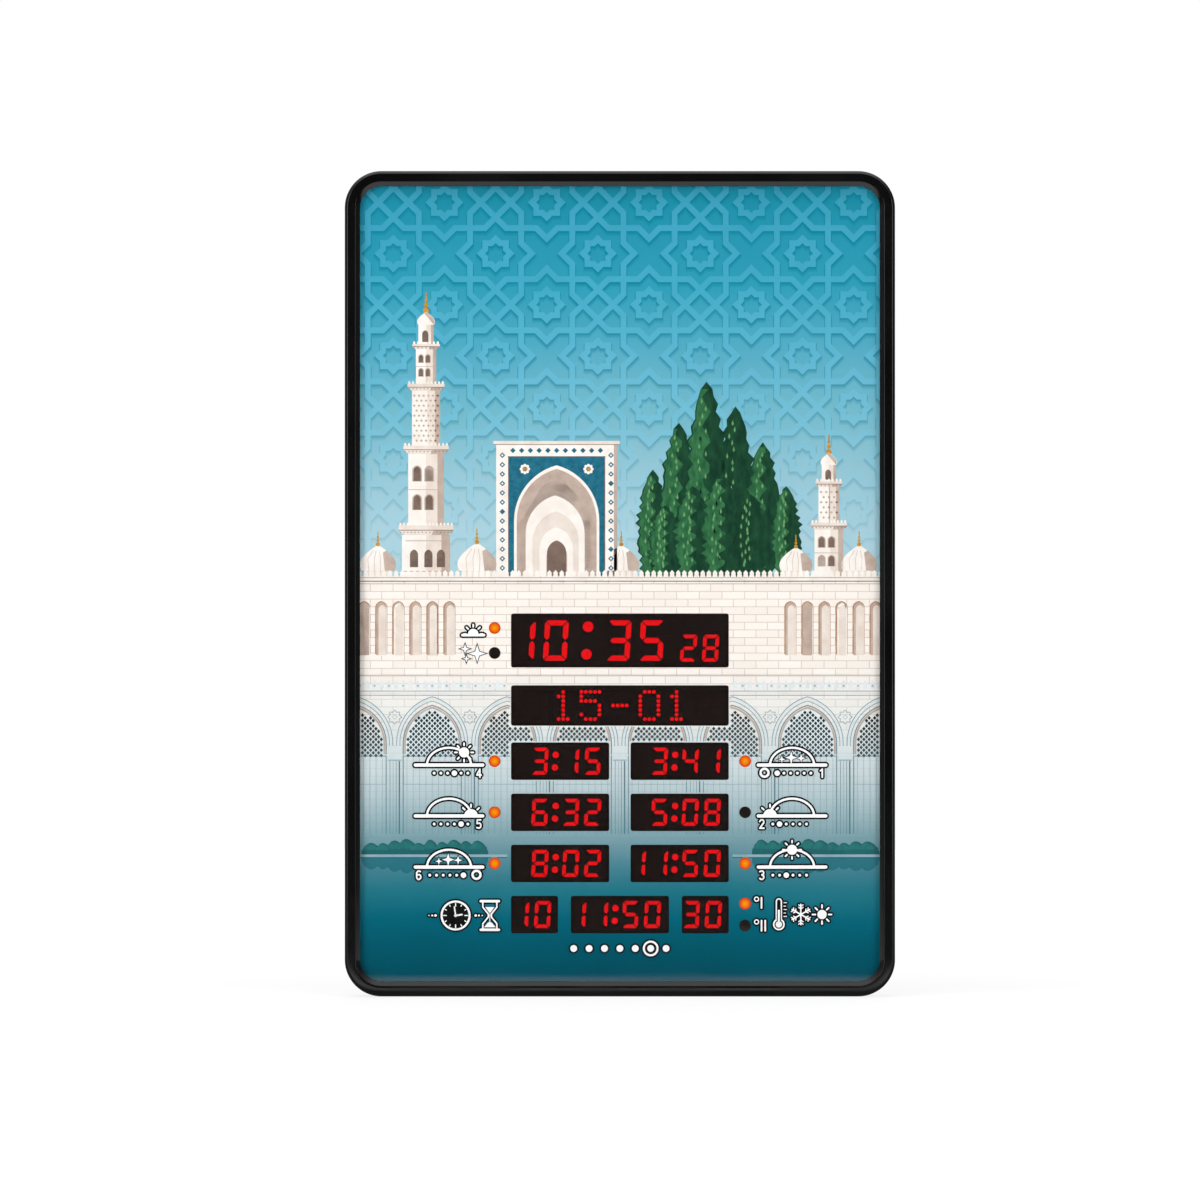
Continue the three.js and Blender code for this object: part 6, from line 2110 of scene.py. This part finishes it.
def makePaleFloor():
    # the camera sees it as white, darkened only where the object shades it
    graph = Finish("paleFloor")
    graph.dress({"Base Color": (0.86, 0.86, 0.86, 1), "Roughness": 0.9, "Specular IOR Level": 0.1})
    path = graph.node("ShaderNodeLightPath").outputs
    reach = graph.node("ShaderNodeVectorMath", {0: graph.place()}, operation="LENGTH").outputs["Value"]
    share = graph.times(graph.math(*seenDirectly(path)), graph.ranged(reach, 0.45, 1.6, 0.72, 1.0))
    white = graph.out("ShaderNodeEmission", {"Color": (1, 1, 1, 1), "Strength": studio["floorGlow"]})
    blend = graph.out("ShaderNodeMixShader", {0: share, 1: graph.shader.outputs[0], 2: white})
    along = graph.ranged(graph.axes(graph.place())[1], *studio["mirrorSpan"], 0.0, 1.0)
    glow = graph.ramp(along, [(position, (value, value, value, 1)) for position, value in studio["mirror"]])
    mirrored = graph.out("ShaderNodeEmission", {"Color": glow, "Strength": studio["mirrorGlow"]})
    blend = graph.out("ShaderNodeMixShader", {0: path["Is Glossy Ray"], 1: blend, 2: mirrored})
    graph.feed(graph.tree.nodes["Material Output"].inputs["Surface"], blend)
    return graph.material


def makeFloor():
    shape = bmesh.new()
    bmesh.ops.create_grid(shape, x_segments=8, y_segments=8, size=studio["floorSize"] / 2)
    bmesh.ops.translate(shape, vec=(0, 0, studio["floorZ"]), verts=shape.verts)
    floor = pieceFrom("studio_floor", shape, makePaleFloor())


def makeWorld():
    # white to the camera; to glossy rays a soft room with a dark side towards the camera and to the right
    world = bpy.data.worlds.new("studioWorld")
    world.use_nodes = True
    scene.world = world
    world.node_tree.nodes.clear()
    graph = Graph(world.node_tree)
    path = graph.node("ShaderNodeLightPath").outputs
    axes = graph.axes(graph.place("Generated"))
    ahead = graph.ranged(graph.times(axes[1], -1.0), *studio["ahead"], "SMOOTHSTEP")
    aside = graph.times(graph.ranged(axes[0], *studio["left"]), graph.ranged(axes[0], *studio["right"]))
    above = graph.ranged(axes[2], *studio["above"])
    glossy = graph.times(graph.times(ahead, aside), above)
    room = graph.out("ShaderNodeMix", {0: path["Is Glossy Ray"], 2: studio["ambient"], 3: glossy}, data_type="FLOAT")
    strength = graph.out("ShaderNodeMix", {0: graph.math(*seenDirectly(path)), 2: room, 3: 1.0}, data_type="FLOAT")
    sky = graph.out("ShaderNodeBackground", {"Color": (1, 1, 1, 1), "Strength": strength})
    graph.feed(graph.node("ShaderNodeOutputWorld").inputs["Surface"], sky)


def areaLamp(name, place, target, size, power, mirrored):
    data = bpy.data.lights.new(name, "AREA")
    data.shape = "RECTANGLE"
    data.size, data.size_y = size
    data.energy = power
    lamp = newObject(name, data)
    lamp.location = place
    lamp.rotation_euler = (Vector(target) - Vector(place)).to_track_quat("-Z", "Y").to_euler()
    lamp.visible_glossy = mirrored


def makeCamera():
    data = bpy.data.cameras.new("front_camera")
    data.sensor_width = studio["sensor"]
    data.lens = studio["sensor"] * (studio["cameraDistance"] - studio["frontDepth"]) / studio["frameWidth"]
    data.clip_end = studio["clipEnd"]
    camera = newObject("front_camera", data)
    camera.location = (studio["shiftX"], -studio["cameraDistance"], studio["shiftZ"])
    camera.rotation_euler = (math.pi / 2, 0, 0)
    scene.camera = camera


makeFloor()
makeWorld()
for lamp in studio["lamps"]:
    areaLamp(*lamp)
makeCamera()

print("stage and camera ready")
